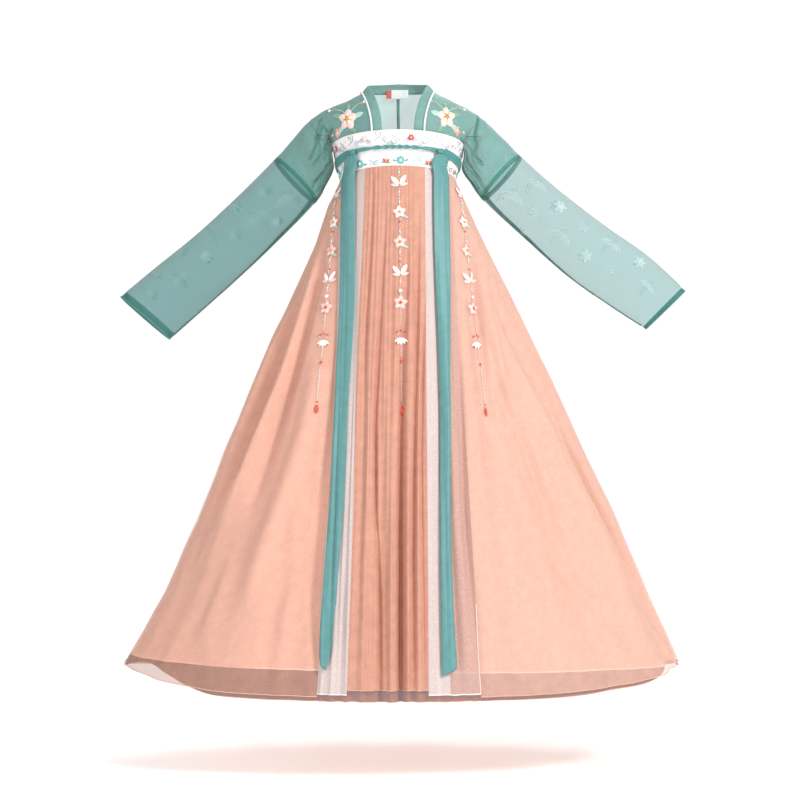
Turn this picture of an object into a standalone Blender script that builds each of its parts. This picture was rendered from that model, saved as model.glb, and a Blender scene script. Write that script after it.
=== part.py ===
"""Hanfu robe, filled out as it is worn: a sheer parallel-collar shirt under a chest-high skirt.

Metres, +Z up. The front faces -Y, and +X is the wearer's left. The origin is the middle of the
neck, level with the two points where the shoulder lines meet the collar. Each cloth piece is one
wall, built on its middle surface and thickened.
"""
import math

import bmesh
import bpy
from mathutils import Vector

# Walls and gaps
CLOTH = 0.0012  # wall of a cloth piece
BAND_WALL = 0.0024  # the chest band is interlined
SEAM_GAP = 0.0003  # between two pieces that are sewn together
SEAM_ROOM = 0.00022  # half the gap where two walls meet edge to edge, at an angle

# Chest band: an oval ring that narrows downwards and dips towards the back
BAND_TOP_Z = -0.097  # upper edge at the centre front
BAND_HEIGHT = 0.076
BAND_DIP = 0.055  # how much lower the upper edge is at the centre back
BAND_TOP = (0.149, 0.118)  # half width and half depth at the upper edge
BAND_LOW = (0.131, 0.106)  # and at the lower edge
BAND_END_DEG = 95.0  # where the front band meets the back band

# Skirt
HEM = (0.641, 0.400)  # half width and half depth at the hem
HEM_FRONT_Z = -1.346
HEM_SIDE_RISE = 0.040  # the hem is higher at the sides, because every length of cloth is the same
LINING_HEM_Z = -1.281
LINING_HEM_TILT = 0.009  # the lining hangs this much lower on the wearer's left, and higher on the right
PLY_TOP = 0.0021  # from one skirt layer to the next, at the band
PLY_HEM = 0.0105  # and at the hem
SIDE_SEAM_DEG = 100.0
SIDE_SEAM_HEM_DEG = 95.0

# Shirt
SHIRT_TOP = (0.1464, 0.1090)  # the shirt's oval where it enters the chest band
SHIRT_LOW = (0.1210, 0.0960)  # and where it leaves it
SHIRT_HEM_Z = -0.440
SHIRT_ABOVE_BAND = 0.003
NECK_HALF_WIDTH = 0.082
NECK_BACK = (0.065, 0.0045)  # how far back and how high the neckline's centre back is

# Neckband and its piping
COLLAR_WIDTH = 0.0215
COLLAR_START = 0.0013
PIPING_RADIUS = 0.0023
COLLAR_HEM_Z = -0.420

# Chest tie, knots and streamers
TIE_SHARE = 0.56  # how far down the band the tie lies
TIE_WIDE = 0.0200  # width where it lies flat round the sides and back
TIE_NARROW = 0.0140  # width where it is twisted, across the front
TIE_THICK = 0.0032  # where it lies flat
TIE_ROLLED = 0.0056  # thickness where it is twisted
TIE_TWISTS = 4  # half turns
TIE_CLEAR = 0.0006  # keeps its flat facets off the band
KNOT = (0.0085, 0.0045, 0.0070)  # half width, half depth and half height
KNOT_DEG = (-43.0, 39.5)
KNOT_CLEAR = 0.0005
STREAMER_LIFT = 0.0072  # streamers hang this far outside the skirt's outer surface

GREEN = (0.16, 0.42, 0.38, 1.0)
DEEP_GREEN = (0.07, 0.33, 0.30, 1.0)
WHITE = (0.93, 0.90, 0.88, 1.0)
PEACH = (0.86, 0.54, 0.43, 1.0)
DARK_PEACH = (0.78, 0.45, 0.34, 1.0)
LINING_PEACH = (0.90, 0.62, 0.50, 1.0)
RED = (0.80, 0.10, 0.16, 1.0)


# ---------------------------------------------------------------- small maths

def mix(a, b, share):
    """a at share 0 and b at share 1, for numbers and for pairs."""
    if isinstance(a, tuple):
        return tuple(mix(x, y, share) for x, y in zip(a, b))
    return a + (b - a) * share


def ease(x):
    """0 below 0, 1 above 1, and smooth between."""
    x = min(1.0, max(0.0, x))
    return x * x * (3 - 2 * x)


def bump(x):
    """1 at 0, falling smoothly to 0 at -1 and 1."""
    return math.cos(math.pi * x / 2) ** 2 if abs(x) < 1 else 0.0


def between(x, xs, ys):
    """ys at x, on straight lines through the points (xs, ys)."""
    if x <= xs[0]:
        return ys[0]
    for i in range(1, len(xs)):
        if x <= xs[i]:
            return mix(ys[i - 1], ys[i], (x - xs[i - 1]) / (xs[i] - xs[i - 1]))
    return ys[-1]


def smooth_row(rows, at):
    """The row at a fractional index, on a smooth curve through rows of numbers (Catmull-Rom)."""
    last = len(rows) - 1
    i = min(max(int(math.floor(at)), 0), last - 1)
    t = at - i
    picked = [rows[min(max(k, 0), last)] for k in (i - 1, i, i + 1, i + 2)]
    weights = (
        (-t + 2 * t * t - t**3) / 2,
        (2 - 5 * t * t + 3 * t**3) / 2,
        (t + 4 * t * t - 3 * t**3) / 2,
        (-t * t + t**3) / 2,
    )
    return [sum(w * row[k] for w, row in zip(weights, picked)) for k in range(len(rows[0]))]


def bezier(p0, p1, p2, p3, t):
    s = 1 - t
    return p0 * s**3 + p1 * (3 * s * s * t) + p2 * (3 * s * t * t) + p3 * t**3


def steps(first, last, count):
    """count + 1 numbers from first to last."""
    return [first + (last - first) * i / count for i in range(count + 1)]


# ---------------------------------------------------------------- surfaces

def on_oval(half, angle, z, out=0.0):
    """The point at an angle from the centre front on an oval ring, moved out along its normal."""
    across, deep = math.sin(angle), -math.cos(angle)
    normal = Vector((across / half[0], deep / half[1], 0)).normalized()
    return Vector((half[0] * across, half[1] * deep, z)) + normal * out


def band_top_z(angle):
    return BAND_TOP_Z - BAND_DIP * (1 - math.cos(angle)) / 2


def band_point(angle, share, out=0.0):
    """A point on the chest band: share 0 is its upper edge and 1 its lower edge."""
    return on_oval(mix(BAND_TOP, BAND_LOW, share), angle, band_top_z(angle) - share * BAND_HEIGHT, out)


# The seams between the front's panels, as X at the band and X at the hem
FRONT_SEAMS = (
    # name, top_x, hem_x
    ("side to white, wearer's right", -0.126, -0.175),
    ("white to centre, wearer's right", -0.074, -0.109),
    ("centre to white, wearer's left", 0.0605, 0.066),
    ("white to side, wearer's left", 0.117, 0.179),
)


# The sides swell out or in from a straight cone
SIDE_SWELL = (
    # share, wearer's right, wearer's left
    (0.00, 0.000, 0.000),
    (0.05, 0.003, 0.000),
    (0.13, -0.008, 0.001),
    (0.24, -0.008, 0.006),
    (0.38, -0.014, 0.009),
    (0.54, -0.018, 0.009),
    (0.70, -0.029, 0.013),
    (0.85, -0.031, 0.007),
    (1.00, -0.012, 0.006),
)


def skirt_half(share, side):
    """Half width and half depth of the skirt part of the way down, for the side that the sign gives."""
    shares, right, left = zip(*SIDE_SWELL)
    width, depth = mix(BAND_LOW, HEM, share)
    return width + between(share, shares, left if side > 0 else right), depth


def seam_angles(share):
    """Degrees from the centre front to each seam, and to the centre back at both ends of the list."""
    front = []
    for _, top, hem in FRONT_SEAMS:
        half_width = skirt_half(share, top)[0]
        front.append(math.degrees(math.asin(mix(top, hem, share) / half_width)))
    side = mix(SIDE_SEAM_DEG, SIDE_SEAM_HEM_DEG, share)
    return [-180.0, -side, *front, side, 180.0]


SEAM_DEG = seam_angles(0.0)  # a place round the skirt is named by its angle at the band, in degrees
RIGHT_WHITE, RIGHT_CENTRE, LEFT_CENTRE, LEFT_WHITE = SEAM_DEG[2:6]

# Broad folds that every layer of the skirt follows. Each grows from its start to its full depth, and
# keeps its hem part of that at the hem.
FOLDS = (
    # top_deg, hem_deg, half_deg, depth (a ridge is positive), start, full, hem_part
    (-10.0, -10.0, 3.5, -0.007, 0.30, 0.90, 1.0),
    (-22.0, -22.0, 8.0, 0.006, 0.25, 0.90, 1.0),
    (-1.0, -1.0, 5.0, 0.006, 0.30, 0.90, 1.0),
    (7.0, 7.0, 4.5, -0.014, 0.22, 0.85, 1.0),
    (14.5, 14.5, 2.8, -0.006, 0.35, 0.90, 1.0),
    (21.0, 21.0, 4.5, 0.008, 0.30, 0.90, 1.0),
    (65.3, 65.3, 1.8, -0.008, 0.10, 0.40, 0.8),
    (66.5, 78.0, 3.0, -0.008, 0.15, 0.50, 0.8),
    (71.0, 96.0, 3.2, -0.014, 0.12, 0.45, 0.5),
    (79.0, 86.0, 4.0, 0.010, 0.25, 0.80, 1.0),
    (-76.0, -75.8, 1.6, -0.009, 0.35, 0.75, 1.0),
    (-80.5, -84.0, 2.4, -0.012, 0.06, 0.30, 0.15),
    (-84.5, -86.5, 2.5, 0.009, 0.06, 0.35, 0.4),
    (-88.5, -90.0, 2.6, -0.017, 0.06, 0.35, 0.25),
    (-82.0, -81.0, 3.0, 0.008, 0.50, 0.90, 1.0),
)
BACK_FOLDS = 9  # gathered folds across the back
BACK_FOLD_DEPTH = 0.020
BACK_FOLD_TOP = 0.0014
BACK_FOLD_SWAY = 0.35  # makes the back's folds uneven
BACK_FOLD_EASE = 0.25  # part of the way to the centre back over which the folds reach full depth


def fold_depth(deg, share):
    """How far the broad folds push the skirt out at a place round it."""
    total = 0.0
    for top_deg, hem_deg, half_deg, depth, start, full, hem_part in FOLDS:
        centre = mix(top_deg, hem_deg, share)
        grown = ease((share - start) / (full - start))
        kept = mix(1.0, hem_part, ease((share - full) / (1 - full)))
        total += depth * grown * kept * bump((deg - centre) / half_deg)
    behind = (abs(deg) - SIDE_SEAM_DEG) / (180.0 - SIDE_SEAM_DEG)
    if behind > 0:
        turn = math.copysign(behind, deg) * math.pi * BACK_FOLDS
        wave = math.cos(turn + BACK_FOLD_SWAY * math.sin(2 * turn / 3))
        total += mix(BACK_FOLD_TOP, BACK_FOLD_DEPTH, share) * ease(behind / BACK_FOLD_EASE) * wave
    return total


def skirt_point(deg, share, layer=0, out=0.0):
    """A point on the skirt: deg is its angle at the band, share 1 the hem, and layer 0 the outermost."""
    angle = math.radians(between(deg, SEAM_DEG, seam_angles(share)))
    hem_angle = math.radians(between(deg, SEAM_DEG, seam_angles(1.0)))
    top_z = band_top_z(math.radians(deg)) - BAND_HEIGHT - 2 * SEAM_GAP
    hem_z = HEM_FRONT_Z + HEM_SIDE_RISE * math.sin(hem_angle) ** 4
    ply = layer * mix(PLY_TOP, PLY_HEM, share)
    half = skirt_half(share, deg)
    return on_oval(half, angle, mix(top_z, hem_z, share), fold_depth(deg, share) - ply + out)


def skirt_deg(x, share):
    """The place round the skirt's front whose middle surface lies at this X."""
    angle = math.degrees(math.asin(x / skirt_half(share, x)[0]))
    return between(angle, seam_angles(share), SEAM_DEG)


# Sections of a sleeve and of the body above the chest band, from the neck out to the cuff.
# The first four rows start on the shirt's oval; the others close under the arm.
LEFT_SECTIONS = (
    # ridge_x, ridge_z, low_x, low_z, depth, lean
    (0.082, 0.000, 0.0, 0.0, 0.0, 0.0),
    (0.119, -0.018, 0.0, 0.0, 0.0, 0.0),
    (0.164, -0.041, 0.0, 0.0, 0.0, 0.0),
    (0.192, -0.060, 0.1464, -0.1215, 0.040, 0.0),
    (0.207, -0.074, 0.1545, -0.1205, 0.045, 0.0),
    (0.222, -0.089, 0.1610, -0.1550, 0.047, 0.002),
    (0.249, -0.115, 0.1720, -0.2030, 0.046, 0.006),
    (0.277, -0.144, 0.1920, -0.2420, 0.044, 0.010),
    (0.360, -0.218, 0.2750, -0.3200, 0.041, 0.006),
    (0.474, -0.306, 0.3870, -0.4170, 0.036, 0.002),
    (0.568, -0.372, 0.4830, -0.4850, 0.031, 0.000),
    (0.654, -0.451, 0.5650, -0.5380, 0.024, 0.000),
)
RIGHT_SECTIONS = (
    # ridge_x, ridge_z, low_x, low_z, depth, lean
    (0.082, -0.002, 0.0, 0.0, 0.0, 0.0),
    (0.120, -0.021, 0.0, 0.0, 0.0, 0.0),
    (0.165, -0.040, 0.0, 0.0, 0.0, 0.0),
    (0.191, -0.056, 0.1464, -0.1215, 0.040, 0.0),
    (0.206, -0.069, 0.1545, -0.1205, 0.045, 0.0),
    (0.221, -0.085, 0.1590, -0.1600, 0.047, 0.002),
    (0.248, -0.117, 0.1670, -0.2120, 0.046, 0.006),
    (0.278, -0.150, 0.1870, -0.2480, 0.044, 0.010),
    (0.360, -0.232, 0.2700, -0.3340, 0.041, 0.004),
    (0.455, -0.320, 0.3600, -0.4180, 0.038, 0.000),
    (0.545, -0.393, 0.4400, -0.4900, 0.034, -0.006),
    (0.632, -0.465, 0.5200, -0.5610, 0.029, -0.012),
)
ARMPIT, JOIN, CUFF = 3, 7, 11  # rows of the tables above
CUFF_SHARE = 0.17  # the cuff band's part of the last row
SLEEVE_LEAN = Vector((0.77, 0, -0.64))  # along a sleeve, for the wearer's left

FRONT_OVAL_DEG = (23.1, 42.0, 66.0, 90.0)  # where the rows down to the armpit meet the oval, in front
BACK_OVAL_DEG = (180.0, 152.0, 134.0, 112.0, 90.0)  # and behind, from the centre back
ARCH = (
    # low_out, low_rise, top_out, top_fall: handles of each row's arch, from the centre back's row -1
    (0.000, 0.060, 0.018, 0.030),
    (0.000, 0.050, 0.050, 0.004),
    (0.004, 0.048, 0.058, 0.000),
    (0.016, 0.044, 0.062, 0.000),
    (0.034, 0.026, 0.060, 0.000),
    (0.046, 0.012, 0.062, 0.000),
)
LOW_HANDLE, TOP_HANDLE = 1.0, 1.5  # handles of a sleeve's arch, as shares of its depth
TANGENT_STEP = 0.01  # in rows and in shares, for the surface's normal

# Soft folds across the shoulder and sleeve
SLEEVE_FOLDS = (
    # row, arch share, half row, half share, rows per arch share, depth
    (4.2, 0.62, 0.45, 0.50, -1.3, -0.0050),
    (5.2, 0.55, 0.50, 0.50, -1.2, 0.0045),
    (6.1, 0.45, 0.45, 0.45, -1.0, -0.0040),
    (3.1, 0.55, 0.55, 0.50, -1.2, 0.0030),
    (8.3, 0.30, 0.60, 0.35, 1.2, -0.0040),
    (9.5, 0.40, 0.70, 0.40, 1.0, 0.0030),
)


def ridge_point(sections, row):
    """The top of a section; between rows -1 and 0 it runs round the back neck."""
    if row < 0:
        turn = (row + 1) * math.pi / 2
        back, rise = NECK_BACK
        neck_z = sections[0][1]
        return Vector((NECK_HALF_WIDTH * math.sin(turn), back * math.cos(turn), mix(rise, neck_z, row + 1)))
    ridge = smooth_row(sections, row)
    return Vector((ridge[0], 0, ridge[1]))


def low_point(sections, row, face):
    """The bottom of a section above the band; face is -1 in front and 1 behind."""
    if row <= ARMPIT:
        if face < 0:
            deg = between(row, (0, 1, 2, 3), FRONT_OVAL_DEG)
        else:
            deg = between(row, (-1, 0, 1, 2, 3), BACK_OVAL_DEG)
        return shirt_oval_point(math.radians(deg), -SHIRT_ABOVE_BAND / BAND_HEIGHT)
    low = smooth_row(sections[ARMPIT:], row - ARMPIT)
    return Vector((low[2], 0, low[3]))


def shirt_oval_point(angle, share, out=0.0):
    """A point on the shirt's trunk; share 0 and 1 are the chest band's upper and lower edge."""
    half = mix(SHIRT_TOP, SHIRT_LOW, min(share, 1.0))
    return on_oval(half, angle, band_top_z(angle) - share * BAND_HEIGHT, out)


def plain_arch(sections, row, share, face):
    low, ridge = low_point(sections, row, face), ridge_point(sections, row)
    low_out, low_rise, top_out, top_fall = smooth_row(ARCH, min(row + 1, len(ARCH) - 1))
    blend = ease(row - ARMPIT - 1)
    depth, lean = smooth_row(sections, max(row, 0))[4:6] if row > ARMPIT else (0.0, 0.0)
    low_out = mix(low_out, LOW_HANDLE * depth, blend)
    top_out = mix(top_out, TOP_HANDLE * depth, blend)
    low_rise = mix(low_rise, 0.0, blend)
    point = bezier(
        low,
        low + Vector((0, face * low_out, low_rise)),
        ridge + Vector((0, face * top_out, -top_fall)),
        ridge,
        share,
    )
    return point - SLEEVE_LEAN * (face * lean * math.sin(math.pi * share))


def arch_point(sections, side, row, share, face, out=0.0):
    """A point on the shirt above the band: share 0 is the underarm or the band, and 1 the ridge."""
    point = plain_arch(sections, row, share, face)
    low_row, high_row = max(row - TANGENT_STEP, -1.0), row + TANGENT_STEP
    along_row = plain_arch(sections, high_row, share, face) - plain_arch(sections, low_row, share, face)
    low_share, high_share = max(share - TANGENT_STEP, 0.0), min(share + TANGENT_STEP, 1.0)
    along_arch = plain_arch(sections, row, high_share, face) - plain_arch(sections, row, low_share, face)
    normal = along_row.cross(along_arch).normalized() * -face
    fold = 0.0
    for at, at_share, half_row, half_share, slant, depth in SLEEVE_FOLDS:
        centre = at + slant * (share - at_share)
        fold += depth * bump((row - centre) / half_row) * bump((share - at_share) / half_share)
    point = point + normal * (fold + out)
    return Vector((side * point.x, point.y, point.z))


# ---------------------------------------------------------------- solids

SHARP_DEG = 50.0  # an edge that turns more than this is shaded sharp
WELD = 1e-5


def material(name, colour, roughness, alpha=1.0):
    made = bpy.data.materials.new(name)
    made.use_nodes = True
    shader = made.node_tree.nodes["Principled BSDF"]
    shader.inputs["Base Color"].default_value = colour
    shader.inputs["Roughness"].default_value = roughness
    shader.inputs["Metallic"].default_value = 0.0
    shader.inputs["Alpha"].default_value = alpha
    return made


def new_object(name, shape, finish):
    mesh = bpy.data.meshes.new(name)
    shape.to_mesh(mesh)
    shape.free()
    mesh.materials.append(finish)
    mesh.shade_smooth()
    mesh.set_sharp_from_angle(angle=math.radians(SHARP_DEG))
    made = bpy.data.objects.new(name, mesh)
    bpy.context.scene.collection.objects.link(made)
    return made


def wall(name, grids, finish, thick=CLOTH):
    """One cloth piece: grids of points on its middle surface, welded where they meet and thickened."""
    shape = bmesh.new()
    for grid in grids:
        rows = [[shape.verts.new(point) for point in row] for row in grid]
        for row, following in zip(rows, rows[1:]):
            for i in range(len(row) - 1):
                shape.faces.new((row[i], row[i + 1], following[i + 1], following[i]))
    bmesh.ops.remove_doubles(shape, verts=shape.verts, dist=WELD)
    bmesh.ops.recalc_face_normals(shape, faces=shape.faces)
    made = new_object(name, shape, finish)
    solidify = made.modifiers.new("Solidify", "SOLIDIFY")
    solidify.thickness = thick
    solidify.offset = 0.0
    return made


def tube(name, sections, finish, closed=False):
    """A closed solid through rings of points; closed joins the last ring to the first."""
    shape = bmesh.new()
    rings = [[shape.verts.new(point) for point in ring] for ring in sections]
    pairs = list(zip(rings, rings[1:] + rings[:1])) if closed else list(zip(rings, rings[1:]))
    for ring, following in pairs:
        for i in range(len(ring)):
            j = (i + 1) % len(ring)
            shape.faces.new((ring[i], ring[j], following[j], following[i]))
    if not closed:
        shape.faces.new(rings[0])
        shape.faces.new(rings[-1])
    bmesh.ops.recalc_face_normals(shape, faces=shape.faces)
    return new_object(name, shape, finish)


# ---------------------------------------------------------------- skirt pieces

SKIRT_SHARES = (0.0, 0.05, 0.15, 0.30, 0.48, 0.66, 0.84)  # the rows above the hem
SIDE_COLUMNS, WHITE_COLUMNS, CENTRE_COLUMNS, BACK_COLUMNS = 13, 3, 14, 36
# The back's gores from the left side seam round to the right one. Their seams lie halfway down a fold.
BACK_GORES = (
    # name, first column, last column
    ("skirt_back_left", 0, 11),
    ("skirt_back_centre", 11, 25),
    ("skirt_back_right", 25, BACK_COLUMNS),
)
PLEATS = 12  # knife pleats across the centre panel
PLEAT_SHAPE = (0.0, 0.45, 1.0, 0.25)  # one pleat's height, at four places across it
PLEAT_HEIGHT = ((0.0, 0.0016), (0.35, 0.0036), (0.75, 0.0030), (1.0, 0.0024))  # (share, height)
CENTRE_HEM, WHITE_HEM, SIDE_HEM = 0.977, 0.985, 0.990  # where each panel's hem is, as a share
SLOPE_DEG = 0.5  # step for the distance that a degree covers


def skirt_grid(degs, hem_share, layer=0, lift=None, sewn=False):
    """Columns of points down the skirt; hem_share gives each one's hem, and lift what stands proud.

    The first and the last column of a sewn piece stay half a gap off their seams.
    """
    grid = []
    for i, deg in enumerate(degs):
        hem = hem_share(deg) if callable(hem_share) else hem_share
        inward = {0: 1, len(degs) - 1: -1}.get(i, 0) if sewn else 0
        line = []
        for share in (*SKIRT_SHARES, hem):
            at = deg + inward * SEAM_ROOM / metres_per_degree(deg, share, inward) if inward else deg
            at = wrapped(at)
            line.append(skirt_point(at, share, layer, lift(at, share) if lift else 0.0))
        grid.append(line)
    return grid


def metres_per_degree(deg, share, inward):
    """How far along the skirt's surface one degree goes, from a seam into a panel."""
    seam, near = wrapped(deg), wrapped(deg + inward * SLOPE_DEG)
    return (skirt_point(near, share) - skirt_point(seam, share)).length / SLOPE_DEG


def lining_hem_share(deg):
    """Where the lining's level hem lies, as a share of the skirt's length."""
    top_z, hem = skirt_point(wrapped(deg), 0.0, 2).z, skirt_point(wrapped(deg), 1.0, 2)
    level = LINING_HEM_Z - LINING_HEM_TILT * hem.x / HEM[0]
    return (top_z - level) / (top_z - hem.z)


def common_columns():
    """Places round the skirt that its inner layers share, from the right side seam to the left one."""
    right_side = steps(-SIDE_SEAM_DEG, RIGHT_WHITE, SIDE_COLUMNS)
    right_white = steps(RIGHT_WHITE, RIGHT_CENTRE, WHITE_COLUMNS)
    centre = steps(RIGHT_CENTRE, LEFT_CENTRE, CENTRE_COLUMNS)
    left_white = steps(LEFT_CENTRE, LEFT_WHITE, WHITE_COLUMNS)
    left_side = steps(LEFT_WHITE, SIDE_SEAM_DEG, SIDE_COLUMNS)
    return right_side + right_white[1:] + centre[1:] + left_white[1:] + left_side[1:]


def back_columns():
    return steps(SIDE_SEAM_DEG, 360.0 - SIDE_SEAM_DEG, BACK_COLUMNS)


def wrapped(deg):
    return deg if deg <= 180.0 else deg - 360.0


def pleat_lift(deg, share):
    """The height of the centre panel's knife pleats above its plain surface."""
    across = (deg - RIGHT_CENTRE) / (LEFT_CENTRE - RIGHT_CENTRE) * PLEATS
    places = len(PLEAT_SHAPE)
    at = (across % 1.0) * places
    first = int(at) % places
    height = mix(PLEAT_SHAPE[first], PLEAT_SHAPE[(first + 1) % places], at - int(at))
    return height * between(share, *zip(*PLEAT_HEIGHT))


def make_skirt():
    lining = material("lining", LINING_PEACH, 0.5)
    tulle = material("peach tulle", PEACH, 0.7)
    pleated = material("pleated chiffon", DARK_PEACH, 0.7)
    white = material("white chiffon", WHITE, 0.7)

    front = common_columns()
    round_all = front + back_columns()[1:]
    wall("skirt_lining", [skirt_grid(round_all, lining_hem_share, 2)], lining)
    wall("skirt_front_under", [skirt_grid(front, 1.0, 1, sewn=True)], tulle)
    for name, first, last in BACK_GORES:
        wall(name, [skirt_grid(back_columns()[first : last + 1], 1.0, 1, sewn=True)], tulle)

    panels = (
        # name, first seam, last seam, columns, hem, finish
        ("side_panel_right", -SIDE_SEAM_DEG, RIGHT_WHITE, SIDE_COLUMNS, SIDE_HEM, tulle),
        ("white_panel_right", RIGHT_WHITE, RIGHT_CENTRE, WHITE_COLUMNS, WHITE_HEM, white),
        ("white_panel_left", LEFT_CENTRE, LEFT_WHITE, WHITE_COLUMNS, WHITE_HEM, white),
        ("side_panel_left", LEFT_WHITE, SIDE_SEAM_DEG, SIDE_COLUMNS, SIDE_HEM, tulle),
    )
    for name, first, last, columns, hem, finish in panels:
        wall(name, [skirt_grid(steps(first, last, columns), hem, sewn=True)], finish)
    degs = steps(RIGHT_CENTRE, LEFT_CENTRE, PLEATS * len(PLEAT_SHAPE))
    wall("centre_panel", [skirt_grid(degs, CENTRE_HEM, 0, pleat_lift, sewn=True)], pleated)


BAND_COLUMNS = 30
BAND_ROWS = 4
BAND_END_GAP_DEG = 0.09


def make_band():
    white = material("embroidered band", WHITE, 0.55)
    ends = (
        ("band_front", -BAND_END_DEG, BAND_END_DEG),
        ("band_back", BAND_END_DEG, 360.0 - BAND_END_DEG),
    )
    for name, first, last in ends:
        degs = steps(first + BAND_END_GAP_DEG, last - BAND_END_GAP_DEG, BAND_COLUMNS)
        shares = steps(0.0, 1.0, BAND_ROWS)
        grid = [[band_point(math.radians(deg), share) for share in shares] for deg in degs]
        wall(name, [grid], white, BAND_WALL)


# ---------------------------------------------------------------- shirt pieces

BODY_ROWS = (0, 1, 2, 2.5, 3, 3.5, 4, 4.5, 5, 5.5, 6, 7)
NECK_ROWS = (-1, -0.67, -0.33)
ARCH_STEPS = 8
TRUNK_SHARES = (0.3, 0.65, 1.0)  # down the trunk, inside the band
TRUNK_STEPS = 2  # from the band to the shirt's hem
JOIN_GAP_ROWS = 0.003  # half the gap at the sleeve's seam, in rows
CENTRE_BACK_GAP = 0.0004
BODY_ROOM = 0.0005  # half the gap between the body's front and back
SLEEVE_STEPS = 9
SLEEVE_ROOM = 0.00042  # half the gap between a sleeve's halves, whose walls turn sharply there


def trunk_column(sections, side, row, face):
    """Points down the shirt's trunk from one section's lower end to the shirt's hem."""
    first = low_point(sections, row, face)
    angle = math.atan2(first.x / SHIRT_TOP[0], -first.y / SHIRT_TOP[1])
    points = [first] + [shirt_oval_point(angle, share) for share in TRUNK_SHARES]
    last = points[-1]
    for share in steps(0.0, 1.0, TRUNK_STEPS)[1:]:
        points.append(Vector((last.x, last.y, mix(last.z, SHIRT_HEM_Z, share))))
    return [Vector((side * p.x, p.y, p.z)) for p in points]


def clear_of_halves(point, side, face):
    """Keeps a body's pieces apart at the centre-back seam and where front and back meet."""
    x, y = side * max(side * point.x, CENTRE_BACK_GAP), face * max(face * point.y, BODY_ROOM)
    return Vector((x, y, point.z))


def make_body(name, sections, side, finish):
    """A front and a back half, which meet over the shoulder, under the arm and down the side."""
    rows = [min(row, JOIN - JOIN_GAP_ROWS) for row in BODY_ROWS]
    shares = steps(0.0, 1.0, ARCH_STEPS)
    for half, face, columns in (("front", -1, rows), ("back", 1, list(NECK_ROWS) + rows)):
        arch = [[arch_point(sections, side, row, s, face) for s in shares] for row in columns]
        trunk = [trunk_column(sections, side, row, face) for row in columns if row <= ARMPIT]
        clear = [[[clear_of_halves(p, side, face) for p in line] for line in grid] for grid in (arch, trunk)]
        wall(f"{name}_{half}", clear, finish)


def arch_grid(sections, side, rows, face):
    shares = steps(0.0, 1.0, ARCH_STEPS)
    return [[arch_point(sections, side, row, share, face) for share in shares] for row in rows]


def make_cuff(name, sections, side, rows, finish):
    wall(name, [arch_grid(sections, side, rows, face) for face in (-1, 1)], finish)


def make_sleeve(name, sections, side, rows, finish):
    """A front and a back half, kept off the line along the top and off the seam under the arm."""
    for half, face in (("front", -1), ("back", 1)):
        grid = arch_grid(sections, side, rows, face)
        for line in grid:
            for end, inner in ((0, 1), (-1, -2)):
                line[end] = line[end] + (line[inner] - line[end]).normalized() * SLEEVE_ROOM
        wall(f"{name}_{half}", [grid], finish)


# How the neckband leans in from the seam, along its way from the front hem to the centre back
COLLAR_LEAN = (
    # station, inward, forward, up
    (0.0, 0.95, 0.23, 0.00),
    (1.0, 0.95, 0.23, 0.02),
    (1.5, 0.90, 0.20, 0.35),
    (2.0, 0.62, 0.02, 0.78),
    (2.5, 0.35, 0.16, 0.92),
    (3.0, 0.00, 0.22, 0.97),
)
# Stations: 0 to 1 goes up the trunk, 1 to 2 up the arch, and 2 to 3 round the back neck
ABOVE_BAND_STATIONS = (1.0, 1.12, 1.25, 1.4, 1.55, 1.7, 1.85, 2.0, 2.2, 2.4, 2.6, 2.8, 3.0)
COLLAR_STATIONS = (0.0, 0.45, 0.76, 0.88, *ABOVE_BAND_STATIONS)
PIPING_STATIONS = (0.86, 0.93, *ABOVE_BAND_STATIONS)
PIPING_SIDES = 6
PIPING_CLEAR = 0.0004  # keeps its flat facets off the seam
OUTWARD_RISE = 0.05  # how far up the direction leans that tells the piping's outer side
NEAR_ROW, NEAR_RIDGE = 0.1, 0.93  # places beside the neckline, in rows and as an arch share


def collar_seam(sections, side, station):
    """The seam between the shirt and its neckband, from the front hem (0) to the centre back (3)."""
    if station < 1:
        top = low_point(sections, 0, -1)
        angle = math.atan2(top.x / SHIRT_TOP[0], -top.y / SHIRT_TOP[1])
        z = mix(COLLAR_HEM_Z, top.z, station)
        share = (band_top_z(angle) - z) / BAND_HEIGHT
        point = on_oval(mix(SHIRT_TOP, SHIRT_LOW, min(share, 1.0)), angle, z)
        return Vector((side * point.x, point.y, point.z))
    if station < 2:
        return arch_point(sections, side, 0, station - 1, -1)
    point = ridge_point(sections, 2 - station)
    return Vector((side * point.x, point.y, point.z))


def collar_lean(side, station):
    stations, inward, forward, up = zip(*COLLAR_LEAN)
    return Vector(
        (
            -side * between(station, stations, inward),
            -between(station, stations, forward),
            between(station, stations, up),
        )
    ).normalized()


def away_from_collar(sections, side, station):
    """The direction in which the shirt leaves the neckband's seam."""
    if station < 1:
        angle = math.radians(FRONT_OVAL_DEG[0])
        along = Vector((SHIRT_TOP[0] * math.cos(angle), SHIRT_TOP[1] * math.sin(angle), 0))
        return Vector((side * along.x, along.y, 0)).normalized()
    if station < 2:
        near = arch_point(sections, side, 0, station - 1, -1)
        return (arch_point(sections, side, NEAR_ROW, station - 1, -1) - near).normalized()
    row = 2 - station
    ridge = arch_point(sections, side, row, 1.0, 1)
    return (arch_point(sections, side, row, NEAR_RIDGE, 1) - ridge).normalized()


def collar_path(stations):
    """(seam point, lean, away) from the right front to the left front, round the back neck."""
    halves = []
    for sections, side in ((RIGHT_SECTIONS, -1), (LEFT_SECTIONS, 1)):
        halves.append(
            [
                (collar_seam(sections, side, s), collar_lean(side, s), away_from_collar(sections, side, s))
                for s in stations
            ]
        )
    right, left = halves
    return right + left[-2::-1]


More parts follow.
